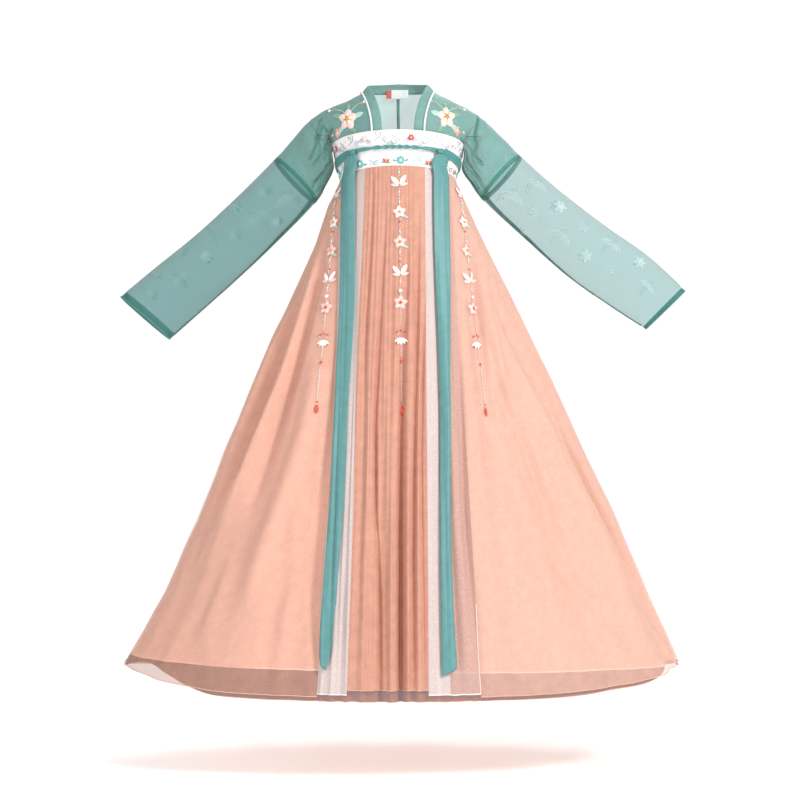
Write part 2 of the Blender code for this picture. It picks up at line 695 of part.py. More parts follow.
def make_collar():
    green = material("neckband", DEEP_GREEN, 0.6)
    white = material("piping", WHITE, 0.5)
    offsets = (COLLAR_START, COLLAR_START + COLLAR_WIDTH / 2, COLLAR_START + COLLAR_WIDTH)
    path = collar_path(COLLAR_STATIONS)
    wall("collar", [[[point + lean * out for out in offsets] for point, lean, _ in path]], green)

    path = collar_path(PIPING_STATIONS)
    rings = []
    for i, (point, lean, away) in enumerate(path):
        along = (path[min(i + 1, len(path) - 1)][0] - path[max(i - 1, 0)][0]).normalized()
        outward = along.cross(away - lean).normalized()
        if outward.dot(Vector((point.x, point.y, OUTWARD_RISE))) < 0:
            outward.negate()
        open_side = min(outward.cross(lean).length, outward.cross(away).length)
        centre = point + outward * ((CLOTH / 2 + SEAM_GAP + PIPING_CLEAR + PIPING_RADIUS) / open_side)
        across = along.cross(outward).normalized()
        turns = [2 * math.pi * (k + 0.5) / PIPING_SIDES for k in range(PIPING_SIDES)]
        rings.append([centre + (outward * math.cos(t) + across * math.sin(t)) * PIPING_RADIUS for t in turns])
    tube("collar_piping", rings, white)


LABEL_FORWARD = 0.0046  # how far inside the neckline the label hangs
LABEL_THICK = 0.0008
LABEL_X, LABEL_Z = (-0.0156, 0.0235), (-0.0070, 0.0135)
TAB_X, TAB_Z = (-0.0270, -0.0162), (-0.0060, 0.0120)


def make_label():
    white = material("label", WHITE, 0.6)
    red = material("tab", RED, 0.6)
    for name, across, tall, finish in (
        ("neck_label", LABEL_X, LABEL_Z, white),
        ("label_tab", TAB_X, TAB_Z, red),
    ):
        grid = []
        for x in steps(across[0], across[1], 4):
            y = NECK_BACK[0] * math.sqrt(1 - (x / NECK_HALF_WIDTH) ** 2) - LABEL_FORWARD
            grid.append([Vector((x, y, z)) for z in steps(tall[0], tall[1], 2)])
        wall(name, [grid], finish, LABEL_THICK)


# ---------------------------------------------------------------- ties

FRONT_STATIONS, BACK_STATIONS = 30, 30  # between the knots, and the other way round
TIE_SIDES = 6
TIE_GATHER_DEG = 12.0  # how far from a knot the tie opens out to its flat width
TIE_SHARE_STEP, TIE_ANGLE_STEP = 0.1, 0.05  # a share and radians, for the directions along the band


def tie_spin(deg):
    """(width, thickness, turn) of the chest tie: flat round the back, twisted between the knots."""
    inside = min(deg - KNOT_DEG[0], KNOT_DEG[1] - deg)
    share = min(max((deg - KNOT_DEG[0]) / (KNOT_DEG[1] - KNOT_DEG[0]), 0.0), 1.0)
    slow_ends = share - math.sin(2 * math.pi * share) / (2 * math.pi)
    narrowed = ease(inside / TIE_GATHER_DEG + 1.0)
    width, thick = mix((TIE_WIDE, TIE_THICK), (TIE_NARROW, TIE_ROLLED), narrowed)
    return width, thick, math.pi * TIE_TWISTS * slow_ends


def tie_frame(deg):
    """(middle, outward, up, reach) of the chest tie: reach is its half size along the outward direction."""
    width, thick, turn = tie_spin(deg)
    reach = math.hypot(width / 2 * math.sin(turn), thick / 2 * math.cos(turn))
    angle = math.radians(deg)
    above, below = (band_point(angle, TIE_SHARE + side * TIE_SHARE_STEP) for side in (-1, 1))
    before, after = (band_point(angle + side * TIE_ANGLE_STEP, TIE_SHARE) for side in (-1, 1))
    up = (above - below).normalized()
    outward = (after - before).cross(up).normalized()
    lift = BAND_WALL / 2 + SEAM_GAP + TIE_CLEAR + reach
    return band_point(angle, TIE_SHARE) + outward * lift, outward, up, reach


def make_tie():
    green = material("tie", DEEP_GREEN, 0.5)
    rings = []
    behind = steps(KNOT_DEG[1], KNOT_DEG[0] + 360.0, BACK_STATIONS)
    for deg in steps(*KNOT_DEG, FRONT_STATIONS)[:-1] + [wrapped(d) for d in behind[:-1]]:
        width, thick, turn = tie_spin(deg)
        middle, outward, up, _ = tie_frame(deg)
        ring = []
        for k in range(TIE_SIDES):
            t = 2 * math.pi * k / TIE_SIDES
            tall, deep = width / 2 * math.sin(t), thick / 2 * math.cos(t)
            ring.append(
                middle
                + up * (tall * math.cos(turn) - deep * math.sin(turn))
                + outward * (tall * math.sin(turn) + deep * math.cos(turn))
            )
        rings.append(ring)
    tube("chest_tie", rings, green, closed=True)
    for name, deg in zip(("knot_right", "knot_left"), KNOT_DEG):
        make_knot(name, deg, green)


def knot_centre(deg):
    middle, outward, _, reach = tie_frame(deg)
    return middle + outward * (reach + KNOT_CLEAR + KNOT[1]), outward


KNOT_SEGMENTS, KNOT_RINGS = 10, 6
KNOT_WAIST, KNOT_WAIST_HALF = 0.22, 0.6  # how far the middle is drawn in, and over how much of the half width


def make_knot(name, deg, finish):
    centre, outward = knot_centre(deg)
    across = outward.cross(Vector((0, 0, 1)))
    shape = bmesh.new()
    bmesh.ops.create_uvsphere(shape, u_segments=KNOT_SEGMENTS, v_segments=KNOT_RINGS, radius=1.0)
    for vert in shape.verts:
        x, y, z = vert.co
        waist = 1.0 - KNOT_WAIST * bump(x / KNOT_WAIST_HALF)
        size = Vector((x * KNOT[0], y * KNOT[1], z * KNOT[2] * waist))
        vert.co = centre + across * size.x + outward * size.y + Vector((0, 0, size.z))
    new_object(name, shape, finish)


# Streamers: how far down the skirt, where across it, how wide they look, and how high they tent
RIGHT_STREAMER = (
    # share, x, seen width, tent
    (0.00, -0.1080, 0.029, 0.0050),
    (0.10, -0.1090, 0.031, 0.0040),
    (0.26, -0.1106, 0.033, 0.0015),
    (0.45, -0.1225, 0.032, 0.0010),
    (0.64, -0.1320, 0.031, 0.0010),
    (0.82, -0.1465, 0.030, 0.0015),
    (0.925, -0.1570, 0.029, 0.0020),
)
LEFT_STREAMER = (
    # share, x, seen width, tent
    (0.00, 0.0930, 0.033, 0.0010),
    (0.10, 0.0945, 0.034, 0.0010),
    (0.20, 0.0975, 0.033, 0.0020),
    (0.32, 0.1000, 0.027, 0.0060),
    (0.45, 0.1018, 0.022, 0.0080),
    (0.64, 0.1018, 0.022, 0.0080),
    (0.82, 0.1045, 0.026, 0.0060),
    (0.945, 0.1095, 0.032, 0.0020),
)
STREAMER_ACROSS = (-1.0, -0.5, 0.0, 0.5, 1.0)
STREAMER_ROWS = 22
STREAMER_TOP = (0.668, 0.78, 0.90)  # rows on the band, from just under the knot
STREAMER_NECK = 0.010  # width where a streamer leaves its knot
SKIRT_START = 0.012  # share of the first row on the skirt
RIGHT_END_SLANT = 0.036  # how much lower one corner of the cut end is than the other
LEFT_END_SLANT = -0.018


def streamer_top(rows, knot_deg):
    """The rows of a streamer that lie on the band, widening from the knot."""
    knot_place, _ = knot_centre(knot_deg)
    knot_lift = (knot_place - band_point(math.radians(knot_deg), TIE_SHARE)).length
    _, first_x, full_width, tent = rows[0][:4]
    lines = []
    for band_share in STREAMER_TOP:
        blend = ease((band_share - STREAMER_TOP[0]) / (1 - STREAMER_TOP[0]))
        x, width = mix(knot_place.x, first_x, blend), mix(STREAMER_NECK, full_width, blend)
        line = []
        for across in STREAMER_ACROSS:
            half_width = mix(BAND_TOP[0], BAND_LOW[0], band_share)
            angle = math.asin((x + across * width / 2) / (half_width + STREAMER_LIFT))
            lift = mix(knot_lift, STREAMER_LIFT + tent * (1 - across * across), blend)
            line.append(band_point(angle, band_share, lift))
        lines.append(line)
    return lines


def streamer_grid(rows, knot_deg, slant):
    shares, xs, widths, tents = zip(*rows)
    grid = streamer_top(rows, knot_deg)
    length = -HEM_FRONT_Z
    last = STREAMER_ROWS
    for i in range(last + 1):
        share = mix(shares[0] + SKIRT_START, shares[-1], i / last)
        x, width, tent = (between(share, shares, column) for column in (xs, widths, tents))
        line = []
        for across in STREAMER_ACROSS:
            at = share + (slant * across / 2 / length if i == last else 0.0)
            deg = skirt_deg(x + across * width / 2, at)
            line.append(skirt_point(deg, at, 0, STREAMER_LIFT + tent * (1 - across * across)))
        grid.append(line)
    return grid


def make_streamers():
    green = material("streamer", DEEP_GREEN, 0.45)
    wall("streamer_right", [streamer_grid(RIGHT_STREAMER, KNOT_DEG[0], RIGHT_END_SLANT)], green)
    wall("streamer_left", [streamer_grid(LEFT_STREAMER, KNOT_DEG[1], LEFT_END_SLANT)], green)


def main():
    for obj in list(bpy.data.objects):
        bpy.data.objects.remove(obj)
    organza = material("organza", GREEN, 0.45, 0.75)
    cuff = material("cuff", DEEP_GREEN, 0.5)
    for name, sections, side in (("right", RIGHT_SECTIONS, -1), ("left", LEFT_SECTIONS, 1)):
        make_body(f"shirt_body_{name}", sections, side, organza)
        cuff_row = CUFF - CUFF_SHARE
        rows = steps(JOIN + JOIN_GAP_ROWS, cuff_row - JOIN_GAP_ROWS, SLEEVE_STEPS)
        make_sleeve(f"sleeve_{name}", sections, side, rows, organza)
        make_cuff(f"cuff_{name}", sections, side, (cuff_row + JOIN_GAP_ROWS, CUFF), cuff)
    make_collar()
    make_label()
    make_band()
    make_skirt()
    make_tie()
    make_streamers()


main()
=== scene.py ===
"""Looks of a filled-out hanfu: a sheer green shirt under a chest-high peach skirt.

Metres, +Z up, the front faces -Y and +X is the wearer's left, as in the CAD. The cloth pieces are
thin shells on the solids' own surfaces, worked out again here at a finer pitch with more folds.
"""
import math

import bmesh
import bpy
import numpy as np
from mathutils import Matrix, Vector, noise


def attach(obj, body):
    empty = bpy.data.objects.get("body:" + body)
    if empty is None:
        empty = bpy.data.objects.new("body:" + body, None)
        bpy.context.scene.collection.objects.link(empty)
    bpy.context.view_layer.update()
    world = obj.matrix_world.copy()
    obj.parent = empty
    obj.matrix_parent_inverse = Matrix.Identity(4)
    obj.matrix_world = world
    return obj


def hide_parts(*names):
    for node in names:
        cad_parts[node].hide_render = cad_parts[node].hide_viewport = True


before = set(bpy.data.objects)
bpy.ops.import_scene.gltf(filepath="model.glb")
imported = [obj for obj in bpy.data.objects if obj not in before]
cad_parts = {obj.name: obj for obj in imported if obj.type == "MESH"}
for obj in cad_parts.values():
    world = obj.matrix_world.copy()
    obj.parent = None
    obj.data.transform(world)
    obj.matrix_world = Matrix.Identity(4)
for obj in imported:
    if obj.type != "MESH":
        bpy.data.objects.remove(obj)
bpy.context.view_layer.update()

# ---------------------------------------------------------------- camera and stage

PIXEL = 0.00228  # metres in the plane through the neck for one pixel of an 800 x 800 picture
MIDDLE, SENSOR = 400.0, 36.0
CAMERA = (0.0045, -6.0, -0.70)
FLOOR_Z, FLOOR_RADIUS, SURROUND_RADIUS = -1.52, 4.3, 10.0
SURROUND_LOW, SURROUND_TOP = -3.5, 12.0  # from the floor
STAGE_GLOW, WORLD_GLOW, LIGHT_AIM = {"floor": 0.40, "surround": 0.47}, 0.52, (0.0, 0.0, -0.6)


def add_object(name, data):
    made = bpy.data.objects.new(name, data)
    bpy.context.scene.collection.objects.link(made)
    return made


def make_camera():
    data = bpy.data.cameras.new("camera")
    data.sensor_width = SENSOR
    data.lens = SENSOR / 2 / (PIXEL * MIDDLE / -CAMERA[1])
    made = add_object("camera", data)
    made.location = CAMERA
    made.rotation_euler = (math.pi / 2, 0, 0)
    bpy.context.scene.camera = made


def pixels(points):
    """Where points (..., 3) show in the 800 x 800 picture."""
    near = (points[..., 1] - CAMERA[1]) / -CAMERA[1]
    return (
        MIDDLE + (points[..., 0] - CAMERA[0]) / (PIXEL * near),
        MIDDLE - (points[..., 2] - CAMERA[2]) / (PIXEL * near),
    )


make_camera()

# ---------------------------------------------------------------- sizes, the CAD's own unless marked

BAND_WALL = 0.0024
SEAM_GAP = 0.0003
BAND_TOP_Z, BAND_HEIGHT, BAND_DIP = -0.097, 0.076, 0.055
BAND_TOP, BAND_LOW = (0.149, 0.118), (0.131, 0.106)
BAND_END_DEG = 95.0
HEM, HEM_FRONT_Z, HEM_SIDE_RISE = (0.641, 0.400), -1.346, 0.040
LINING_HEM_Z, LINING_HEM_TILT = -1.281, 0.009
PLY_TOP, PLY_HEM = 0.0021, 0.0105
SIDE_SEAM_DEG, SIDE_SEAM_HEM_DEG = 100.0, 95.0
SHIRT_TOP, SHIRT_LOW, SHIRT_HEM_Z, SHIRT_ABOVE_BAND = (0.1464, 0.1090), (0.1210, 0.0960), -0.440, 0.003
NECK_HALF_WIDTH, NECK_BACK = 0.082, (0.065, 0.0045)
COLLAR_WIDTH, COLLAR_START, PIPING_RADIUS, COLLAR_HEM_Z = 0.0215, 0.0013, 0.0023, -0.420
TIE_SHARE, TIE_CLEAR = 0.56, 0.0006
TIE_ARCH, TIE_ARCH_DEG, TIE_ARCH_RUN = 0.09, 75.0, 40.0  # here alone the tie arches up over the front
TIE_TWISTS, TIE_TURN_IN = 7, 12.0  # and is twisted more and rolled tighter than its solid
TIE_FLAT, TIE_ROLLED = (0.0200, 0.0032), (0.0098, 0.0058)  # width and thickness
KNOT, KNOT_DEG, KNOT_CLEAR = (0.0085, 0.0045, 0.0070), (-43.0, 39.5), 0.0005
STREAMER_LIFT, STREAMER_START, STREAMER_WALL = 0.0072, 0.588, 0.0009
CENTRE_HEM, WHITE_HEM, SIDE_HEM, UNDER_HEM = 0.977, 0.985, 0.990, 0.9985

FRONT_SEAMS = (
    # top_x, hem_x
    (-0.126, -0.175),
    (-0.074, -0.109),
    (0.0605, 0.066),
    (0.117, 0.179),
)
SIDE_SWELL = (
    # share, wearer's right, wearer's left
    (0.00, 0.000, 0.000),
    (0.05, 0.003, 0.000),
    (0.13, -0.008, 0.001),
    (0.24, -0.008, 0.006),
    (0.38, -0.014, 0.009),
    (0.54, -0.018, 0.009),
    (0.70, -0.029, 0.013),
    (0.85, -0.031, 0.007),
    (1.00, -0.012, 0.006),
)
FOLDS = (
    # top_deg, hem_deg, half_deg, depth (a ridge is positive), start, full, hem_part
    (-10.0, -10.0, 3.5, -0.007, 0.30, 0.90, 1.0),
    (-22.0, -22.0, 8.0, 0.006, 0.25, 0.90, 1.0),
    (-1.0, -1.0, 5.0, 0.006, 0.30, 0.90, 1.0),
    (7.0, 7.0, 4.5, -0.014, 0.22, 0.85, 1.0),
    (14.5, 14.5, 2.8, -0.006, 0.35, 0.90, 1.0),
    (21.0, 21.0, 4.5, 0.008, 0.30, 0.90, 1.0),
    (65.3, 65.3, 1.8, -0.008, 0.10, 0.40, 0.8),
    (66.5, 78.0, 3.0, -0.008, 0.15, 0.50, 0.8),
    (71.0, 96.0, 3.2, -0.014, 0.12, 0.45, 0.5),
    (79.0, 86.0, 4.0, 0.010, 0.25, 0.80, 1.0),
    (-76.0, -75.8, 1.6, -0.009, 0.35, 0.75, 1.0),
    (-80.5, -84.0, 2.4, -0.012, 0.06, 0.30, 0.15),
    (-84.5, -86.5, 2.5, 0.009, 0.06, 0.35, 0.4),
    (-88.5, -90.0, 2.6, -0.017, 0.06, 0.35, 0.25),
    (-82.0, -81.0, 3.0, 0.008, 0.50, 0.90, 1.0),
)
BACK_FOLDS, BACK_FOLD_DEPTH, BACK_FOLD_TOP, BACK_FOLD_SWAY, BACK_FOLD_EASE = 9, 0.020, 0.0014, 0.35, 0.25
# This file's own: layers that close up at the sides, and the heights of the fine folds
SIDE_NEARER, SIDE_NEARER_DEG, SIDE_NEARER_HALF = 0.68, 94.0, 34.0
FINE_LONG, FINE_CROSS, FINE_BEHIND, BEHIND_WAVES = (0.0008, 0.0052), 0.0026, (0.0010, 0.0036), 74

LEFT_SECTIONS = np.array((
    # ridge_x, ridge_z, low_x, low_z, depth, lean; rows 4 to 6 hang lower than the solid's
    (0.082, 0.000, 0.0, 0.0, 0.0, 0.0),
    (0.119, -0.018, 0.0, 0.0, 0.0, 0.0),
    (0.164, -0.041, 0.0, 0.0, 0.0, 0.0),
    (0.192, -0.060, 0.1464, -0.1215, 0.040, 0.0),
    (0.207, -0.074, 0.1505, -0.1430, 0.045, 0.0),
    (0.222, -0.089, 0.1468, -0.1760, 0.047, 0.002),
    (0.249, -0.115, 0.1670, -0.2070, 0.046, 0.006),
    (0.277, -0.144, 0.1920, -0.2420, 0.044, 0.010),
    (0.360, -0.218, 0.2750, -0.3200, 0.041, 0.006),
    (0.474, -0.306, 0.3870, -0.4170, 0.036, 0.002),
    (0.568, -0.372, 0.4830, -0.4850, 0.031, 0.000),
    (0.654, -0.451, 0.5650, -0.5380, 0.024, 0.000),
))
RIGHT_SECTIONS = np.array((
    # the same columns; rows 4 to 6 hang lower than the solid's, and the last two lean less
    (0.082, -0.002, 0.0, 0.0, 0.0, 0.0),
    (0.120, -0.021, 0.0, 0.0, 0.0, 0.0),
    (0.165, -0.040, 0.0, 0.0, 0.0, 0.0),
    (0.191, -0.056, 0.1464, -0.1215, 0.040, 0.0),
    (0.206, -0.069, 0.1505, -0.1420, 0.045, 0.0),
    (0.221, -0.085, 0.1472, -0.1740, 0.047, 0.002),
    (0.248, -0.117, 0.1650, -0.2110, 0.046, 0.006),
    (0.278, -0.150, 0.1870, -0.2480, 0.044, 0.010),
    (0.360, -0.232, 0.2700, -0.3340, 0.041, 0.004),
    (0.455, -0.320, 0.3600, -0.4180, 0.038, 0.000),
    (0.545, -0.393, 0.4400, -0.4900, 0.034, -0.002),
    (0.632, -0.465, 0.5200, -0.5610, 0.029, -0.004),
))
SECTIONS = {1: LEFT_SECTIONS, -1: RIGHT_SECTIONS}
SIDES = {1: "left", -1: "right"}
ARMPIT, JOIN, CUFF = 3, 7, 11  # rows of the sections
CUFF_SHARE = {1: 0.13, -1: 0.21}  # of the last row, and 0.17 on the solids
SLEEVE_LEAN = np.array((0.77, 0, -0.64))
FRONT_OVAL_DEG = (23.1, 42.0, 66.0, 90.0)
BACK_OVAL_DEG = (180.0, 152.0, 134.0, 112.0, 90.0)
ARCH = np.array((
    # low_out, low_rise, top_out, top_fall
    (0.000, 0.060, 0.018, 0.030),
    (0.000, 0.050, 0.050, 0.004),
    (0.004, 0.048, 0.058, 0.000),
    (0.016, 0.044, 0.062, 0.000),
    (0.034, 0.026, 0.060, 0.000),
    (0.046, 0.012, 0.062, 0.000),
))
LOW_HANDLE, TOP_HANDLE, TANGENT_STEP = 1.0, 1.5, 0.01
FLAT_EDGE, CRUMPLE = 0.08, 0.0011  # here alone the shirt's cloth is a little uneven, away from its edges
SLEEVE_FOLDS = (
    # row, arch share, half row, half share, rows per arch share, depth
    (4.2, 0.62, 0.45, 0.50, -1.3, -0.0050),
    (5.2, 0.55, 0.50, 0.50, -1.2, 0.0045),
    (6.1, 0.45, 0.45, 0.45, -1.0, -0.0040),
    (3.1, 0.55, 0.55, 0.50, -1.2, 0.0030),
    (8.3, 0.30, 0.60, 0.35, 1.2, -0.0040),
    (9.5, 0.40, 0.70, 0.40, 1.0, 0.0030),
)

# ---------------------------------------------------------------- small maths, on numbers and arrays


def mix(a, b, share):
    return a + (b - a) * share


def mix2(a, b, share):
    return mix(a[0], b[0], share), mix(a[1], b[1], share)


def ease(x):
    x = np.clip(x, 0.0, 1.0)
    return x * x * (3 - 2 * x)


def bump(x):
    return np.cos(np.pi * np.clip(x, -1.0, 1.0) / 2) ** 2


def smooth_row(rows, at):
    """Rows of numbers at fractional indices, on a smooth curve through them (Catmull-Rom)."""
    last = len(rows) - 1
    at = np.asarray(at, float)
    i = np.clip(np.floor(at).astype(int), 0, last - 1)
    t = (at - i)[..., None]
    picked = [rows[np.clip(i + k, 0, last)] for k in (-1, 0, 1, 2)]
    weights = (
        (-t + 2 * t * t - t**3) / 2,
        (2 - 5 * t * t + 3 * t**3) / 2,
        (t + 4 * t * t - 3 * t**3) / 2,
        (-t * t + t**3) / 2,
    )
    return sum(w * row for w, row in zip(weights, picked))


def points_of(x, y, z):
    return np.stack(np.broadcast_arrays(np.asarray(x, float), y, z), axis=-1)


def unit(v):
    return v / np.maximum(np.linalg.norm(v, axis=-1, keepdims=True), 1e-12)


def grid_of(a, b):
    """Two arrays that hold every pair: a goes down the rows and b across the columns."""
    return np.meshgrid(np.asarray(a, float), np.asarray(b, float), indexing="ij")


def ripple(u, v, seed, octaves=2):
    """Smooth noise from about -1 to 1, the same in every run."""
    u, v = np.broadcast_arrays(np.asarray(u, float), np.asarray(v, float))
    total = np.zeros(u.shape)
    for k in range(octaves):
        scale = 2.0**k
        flat = [
            noise.noise((a * scale, b * scale, seed + 7.3 * k)) for a, b in zip(u.ravel(), v.ravel())
        ]
        total += np.array(flat).reshape(u.shape) / scale
    return total


def mirrored(points, side):
    """Points of the wearer's left for side 1, or the same ones on the right for -1."""
    return points * np.array((side, 1.0, 1.0))


# ---------------------------------------------------------------- surfaces


def on_oval(half, angle, z, out=0.0):
    across, deep = np.sin(angle), -np.cos(angle)
    nx, ny = across / half[0], deep / half[1]
    size = np.hypot(nx, ny)
    return points_of(half[0] * across + nx / size * out, half[1] * deep + ny / size * out, z)


def band_top_z(angle):
    return BAND_TOP_Z - BAND_DIP * (1 - np.cos(angle)) / 2


def band_point(angle, share, out=0.0):
    return on_oval(mix2(BAND_TOP, BAND_LOW, share), angle, band_top_z(angle) - share * BAND_HEIGHT, out)


def skirt_half(share, side):
    shares, right, left = np.array(SIDE_SWELL).T
    width, depth = mix2(BAND_LOW, HEM, share)
    swell = np.where(np.asarray(side) > 0, np.interp(share, shares, left), np.interp(share, shares, right))
    return width + swell, depth


def seam_angles(share):
    """Degrees from the centre front to each seam, and to the centre back at both ends, for each share."""
    share = np.asarray(share, float)
    front = [
        np.degrees(np.arcsin(mix(top, hem, share) / skirt_half(share, top)[0])) for top, hem in FRONT_SEAMS
    ]
    side = mix(SIDE_SEAM_DEG, SIDE_SEAM_HEM_DEG, share)
    half_turn = np.full(share.shape, 180.0)
    return np.stack([-half_turn, -side, *front, side, half_turn])


SEAM_DEG = seam_angles(0.0)
RIGHT_WHITE, RIGHT_CENTRE, LEFT_CENTRE, LEFT_WHITE = (float(x) for x in SEAM_DEG[2:6])


def skirt_angle(deg, share):
    """Radians from the centre front, for places that are named by their degrees at the band."""
    deg, share = np.broadcast_arrays(np.asarray(deg, float), np.asarray(share, float))
    seams = seam_angles(share)
    i = np.clip(np.searchsorted(SEAM_DEG, deg, side="right") - 1, 0, len(SEAM_DEG) - 2)
    part = (deg - SEAM_DEG[i]) / (SEAM_DEG[i + 1] - SEAM_DEG[i])
    before = np.take_along_axis(seams, i[None], 0)[0]
    after = np.take_along_axis(seams, i[None] + 1, 0)[0]
    return np.radians(mix(before, after, part))


def fold_depth(deg, share):
    total = np.zeros(np.broadcast(deg, share).shape)
    for top_deg, hem_deg, half_deg, depth, start, full, hem_part in FOLDS:
        grown = ease((share - start) / (full - start))
        kept = mix(1.0, hem_part, ease((share - full) / (1 - full)))
        total += depth * grown * kept * bump((deg - mix(top_deg, hem_deg, share)) / half_deg)
    behind = np.maximum((np.abs(deg) - SIDE_SEAM_DEG) / (180.0 - SIDE_SEAM_DEG), 0.0)
    turn = np.copysign(behind, deg) * np.pi * BACK_FOLDS
    wave = np.cos(turn + BACK_FOLD_SWAY * np.sin(2 * turn / 3))
    return total + mix(BACK_FOLD_TOP, BACK_FOLD_DEPTH, share) * ease(behind / BACK_FOLD_EASE) * wave


def plain_skirt(deg, share, layer=0, out=0.0):
    """The skirt's surface with the solids' folds, and its layers nearer one another at the sides."""
    deg = (np.asarray(deg, float) + 180.0) % 360.0 - 180.0
    share = np.asarray(share, float)
    top_z = band_top_z(np.radians(deg)) - BAND_HEIGHT - 2 * SEAM_GAP
    hem_z = HEM_FRONT_Z + HEM_SIDE_RISE * np.sin(skirt_angle(deg, 1.0)) ** 4
    nearer = SIDE_NEARER * bump((np.abs(deg) - SIDE_NEARER_DEG) / SIDE_NEARER_HALF)
    ply = layer * mix(PLY_TOP, PLY_HEM, share) * (1 - nearer)
    lift = fold_depth(deg, share) - ply + out
    return on_oval(skirt_half(share, deg), skirt_angle(deg, share), mix(top_z, hem_z, share), lift)


def skirt_deg(x, share):
    x, share = np.broadcast_arrays(np.asarray(x, float), np.asarray(share, float))
    angle = np.degrees(np.arcsin(x / skirt_half(share, x)[0]))
    seams = seam_angles(share)
    i = np.clip((seams <= angle).sum(axis=0) - 1, 0, len(SEAM_DEG) - 2)
    before = np.take_along_axis(seams, i[None], 0)[0]
    after = np.take_along_axis(seams, i[None] + 1, 0)[0]
    return mix(SEAM_DEG[i], SEAM_DEG[i + 1], (angle - before) / (after - before))


# Creases that every layer of the skirt's front follows, through pixels of the 800 x 800 picture
SKIRT_CREASES = (
    # half width in pixels, depth, pixels along it
    (9.0, -0.0182, ((312, 240), (298, 290), (267, 390), (237, 467), (205, 530), (186, 575))),
    (6.0, 0.0078, ((300, 262), (270, 350), (242, 420), (214, 480))),
    (10.0, 0.0143, ((310, 300), (287, 370), (256, 440), (224, 510), (200, 565))),
    (8.0, -0.0156, ((324, 260), (309, 313), (290, 385), (269, 450), (250, 505))),
    (15.0, 0.0169, ((319, 360), (305, 430), (286, 490), (262, 555), (244, 610))),
    (8.0, -0.0156, ((333, 370), (327, 440), (319, 520), (312, 590), (315, 650), (317, 720))),
    (15.0, -0.0104, ((242, 495), (208, 590), (180, 655), (166, 700))),
    (16.0, 0.0091, ((232, 560), (214, 620), (202, 690))),
    (14.0, -0.0091, ((292, 540), (272, 620), (264, 700))),
    (6.0, -0.0117, ((470, 227), (477, 300), (487, 383), (494, 430))),
    (7.0, 0.0091, ((480, 250), (490, 320), (503, 380), (520, 430))),
    (5.0, -0.0195, (
        (496, 262), (503, 290), (537, 357), (562, 427), (586, 483), (621, 547), (648, 600), (676, 680),
    )),
    (12.0, 0.0117, ((500, 330), (536, 400), (560, 460), (596, 530), (630, 600))),
    (10.0, -0.0104, ((488, 372), (521, 433), (549, 510), (572, 570))),
    (16.0, 0.0104, ((492, 430), (522, 510), (545, 580), (560, 640))),
    (12.0, -0.0078, ((523, 533), (573, 583), (607, 617), (640, 650))),
    (6.0, -0.0104, ((458, 300), (461, 400), (465, 517), (472, 600), (483, 720))),
    (9.0, 0.0078, ((450, 380), (454, 480), (462, 600), (470, 690))),
    (3.2, -0.0091, ((386, 200), (381, 300), (375, 420), (376, 520), (380, 600), (381, 760))),
    (7.0, 0.0078, ((391, 380), (390, 470), (391, 600), (393, 760))),
    (4.5, -0.0123, ((408, 240), (403, 360), (401, 450), (400, 560), (400, 760))),
    (6.0, 0.0078, ((409, 420), (408, 520), (408, 620), (408, 760))),
    (3.4, -0.0097, ((419, 200), (417, 330), (415, 430), (414, 560), (414, 760))),
    (3.0, -0.0078, ((425, 260), (423, 360), (421, 450), (422, 560), (424, 700))),
    (3.0, -0.0052, ((373, 170), (371, 240), (366, 330), (362, 400))),
)


def along_path(x, y, path):
    """Each pixel's distance from a path of pixels, and how far along the path it is nearest."""
    path = np.array(path, float)
    lengths = np.linalg.norm(np.diff(path, axis=0), axis=1)
    done = 0.0
    nearest, place = np.full(x.shape, 1e9), np.zeros(x.shape)
    for (x0, y0), (x1, y1), step in zip(path, path[1:], lengths):
        t = np.clip(((x - x0) * (x1 - x0) + (y - y0) * (y1 - y0)) / step**2, 0, 1)
        away = np.hypot(x - mix(x0, x1, t), y - mix(y0, y1, t))
        place = np.where(away < nearest, (done + t * step) / lengths.sum(), place)
        nearest = np.minimum(away, nearest)
        done += step
    return nearest, place


def creased(points, creases, face=-1):
    """How far a table of creases pushes each point out, on the front or the back."""
    x, y = pixels(points)
    total = np.zeros(x.shape)
    for half, depth, path in creases:
        away, place = along_path(x, y, path)
        total += depth * bump(away / half) * np.sin(np.pi * np.clip(place, 0, 1)) ** 0.6
    return total * ease(points[..., 1] * face / 0.03)


def fine_folds(deg, share):
    """Small uneven folds, the same on every layer of the skirt: long ones, and a few that cross them."""
    long_ones = ripple(deg * 0.16, share * 1.7, 3.1, 2)
    cross_ones = ripple(deg * 0.05 + share * 3.0, share * 11.0, 9.4, 2)
    behind = ease((np.abs(deg) - SIDE_SEAM_DEG) / 20.0)
    gathers = np.cos(np.radians(deg) * BEHIND_WAVES + 1.3 * ripple(deg * 0.09, share, 5.0, 1)) * behind
    grown = mix(*FINE_LONG, ease(share / 0.6))
    crossing = cross_ones * FINE_CROSS * ease((share - 0.4) / 0.4)
    return long_ones * grown + crossing + gathers * mix(*FINE_BEHIND, share)


def skirt_surface(deg, share, layer=0, out=0.0):
    """The skirt with all its folds and creases. Each layer keeps its place among the others."""
    wrapped = (np.asarray(deg, float) + 180.0) % 360.0 - 180.0
    wrapped, share = np.broadcast_arrays(wrapped, np.asarray(share, float))
    more = creased(plain_skirt(wrapped, share), SKIRT_CREASES) + fine_folds(wrapped, share)
    return plain_skirt(wrapped, share, layer, more + out)


def shirt_oval_point(angle, share, out=0.0):
    half = mix2(SHIRT_TOP, SHIRT_LOW, np.minimum(share, 1.0))
    return on_oval(half, angle, band_top_z(angle) - share * BAND_HEIGHT, out)


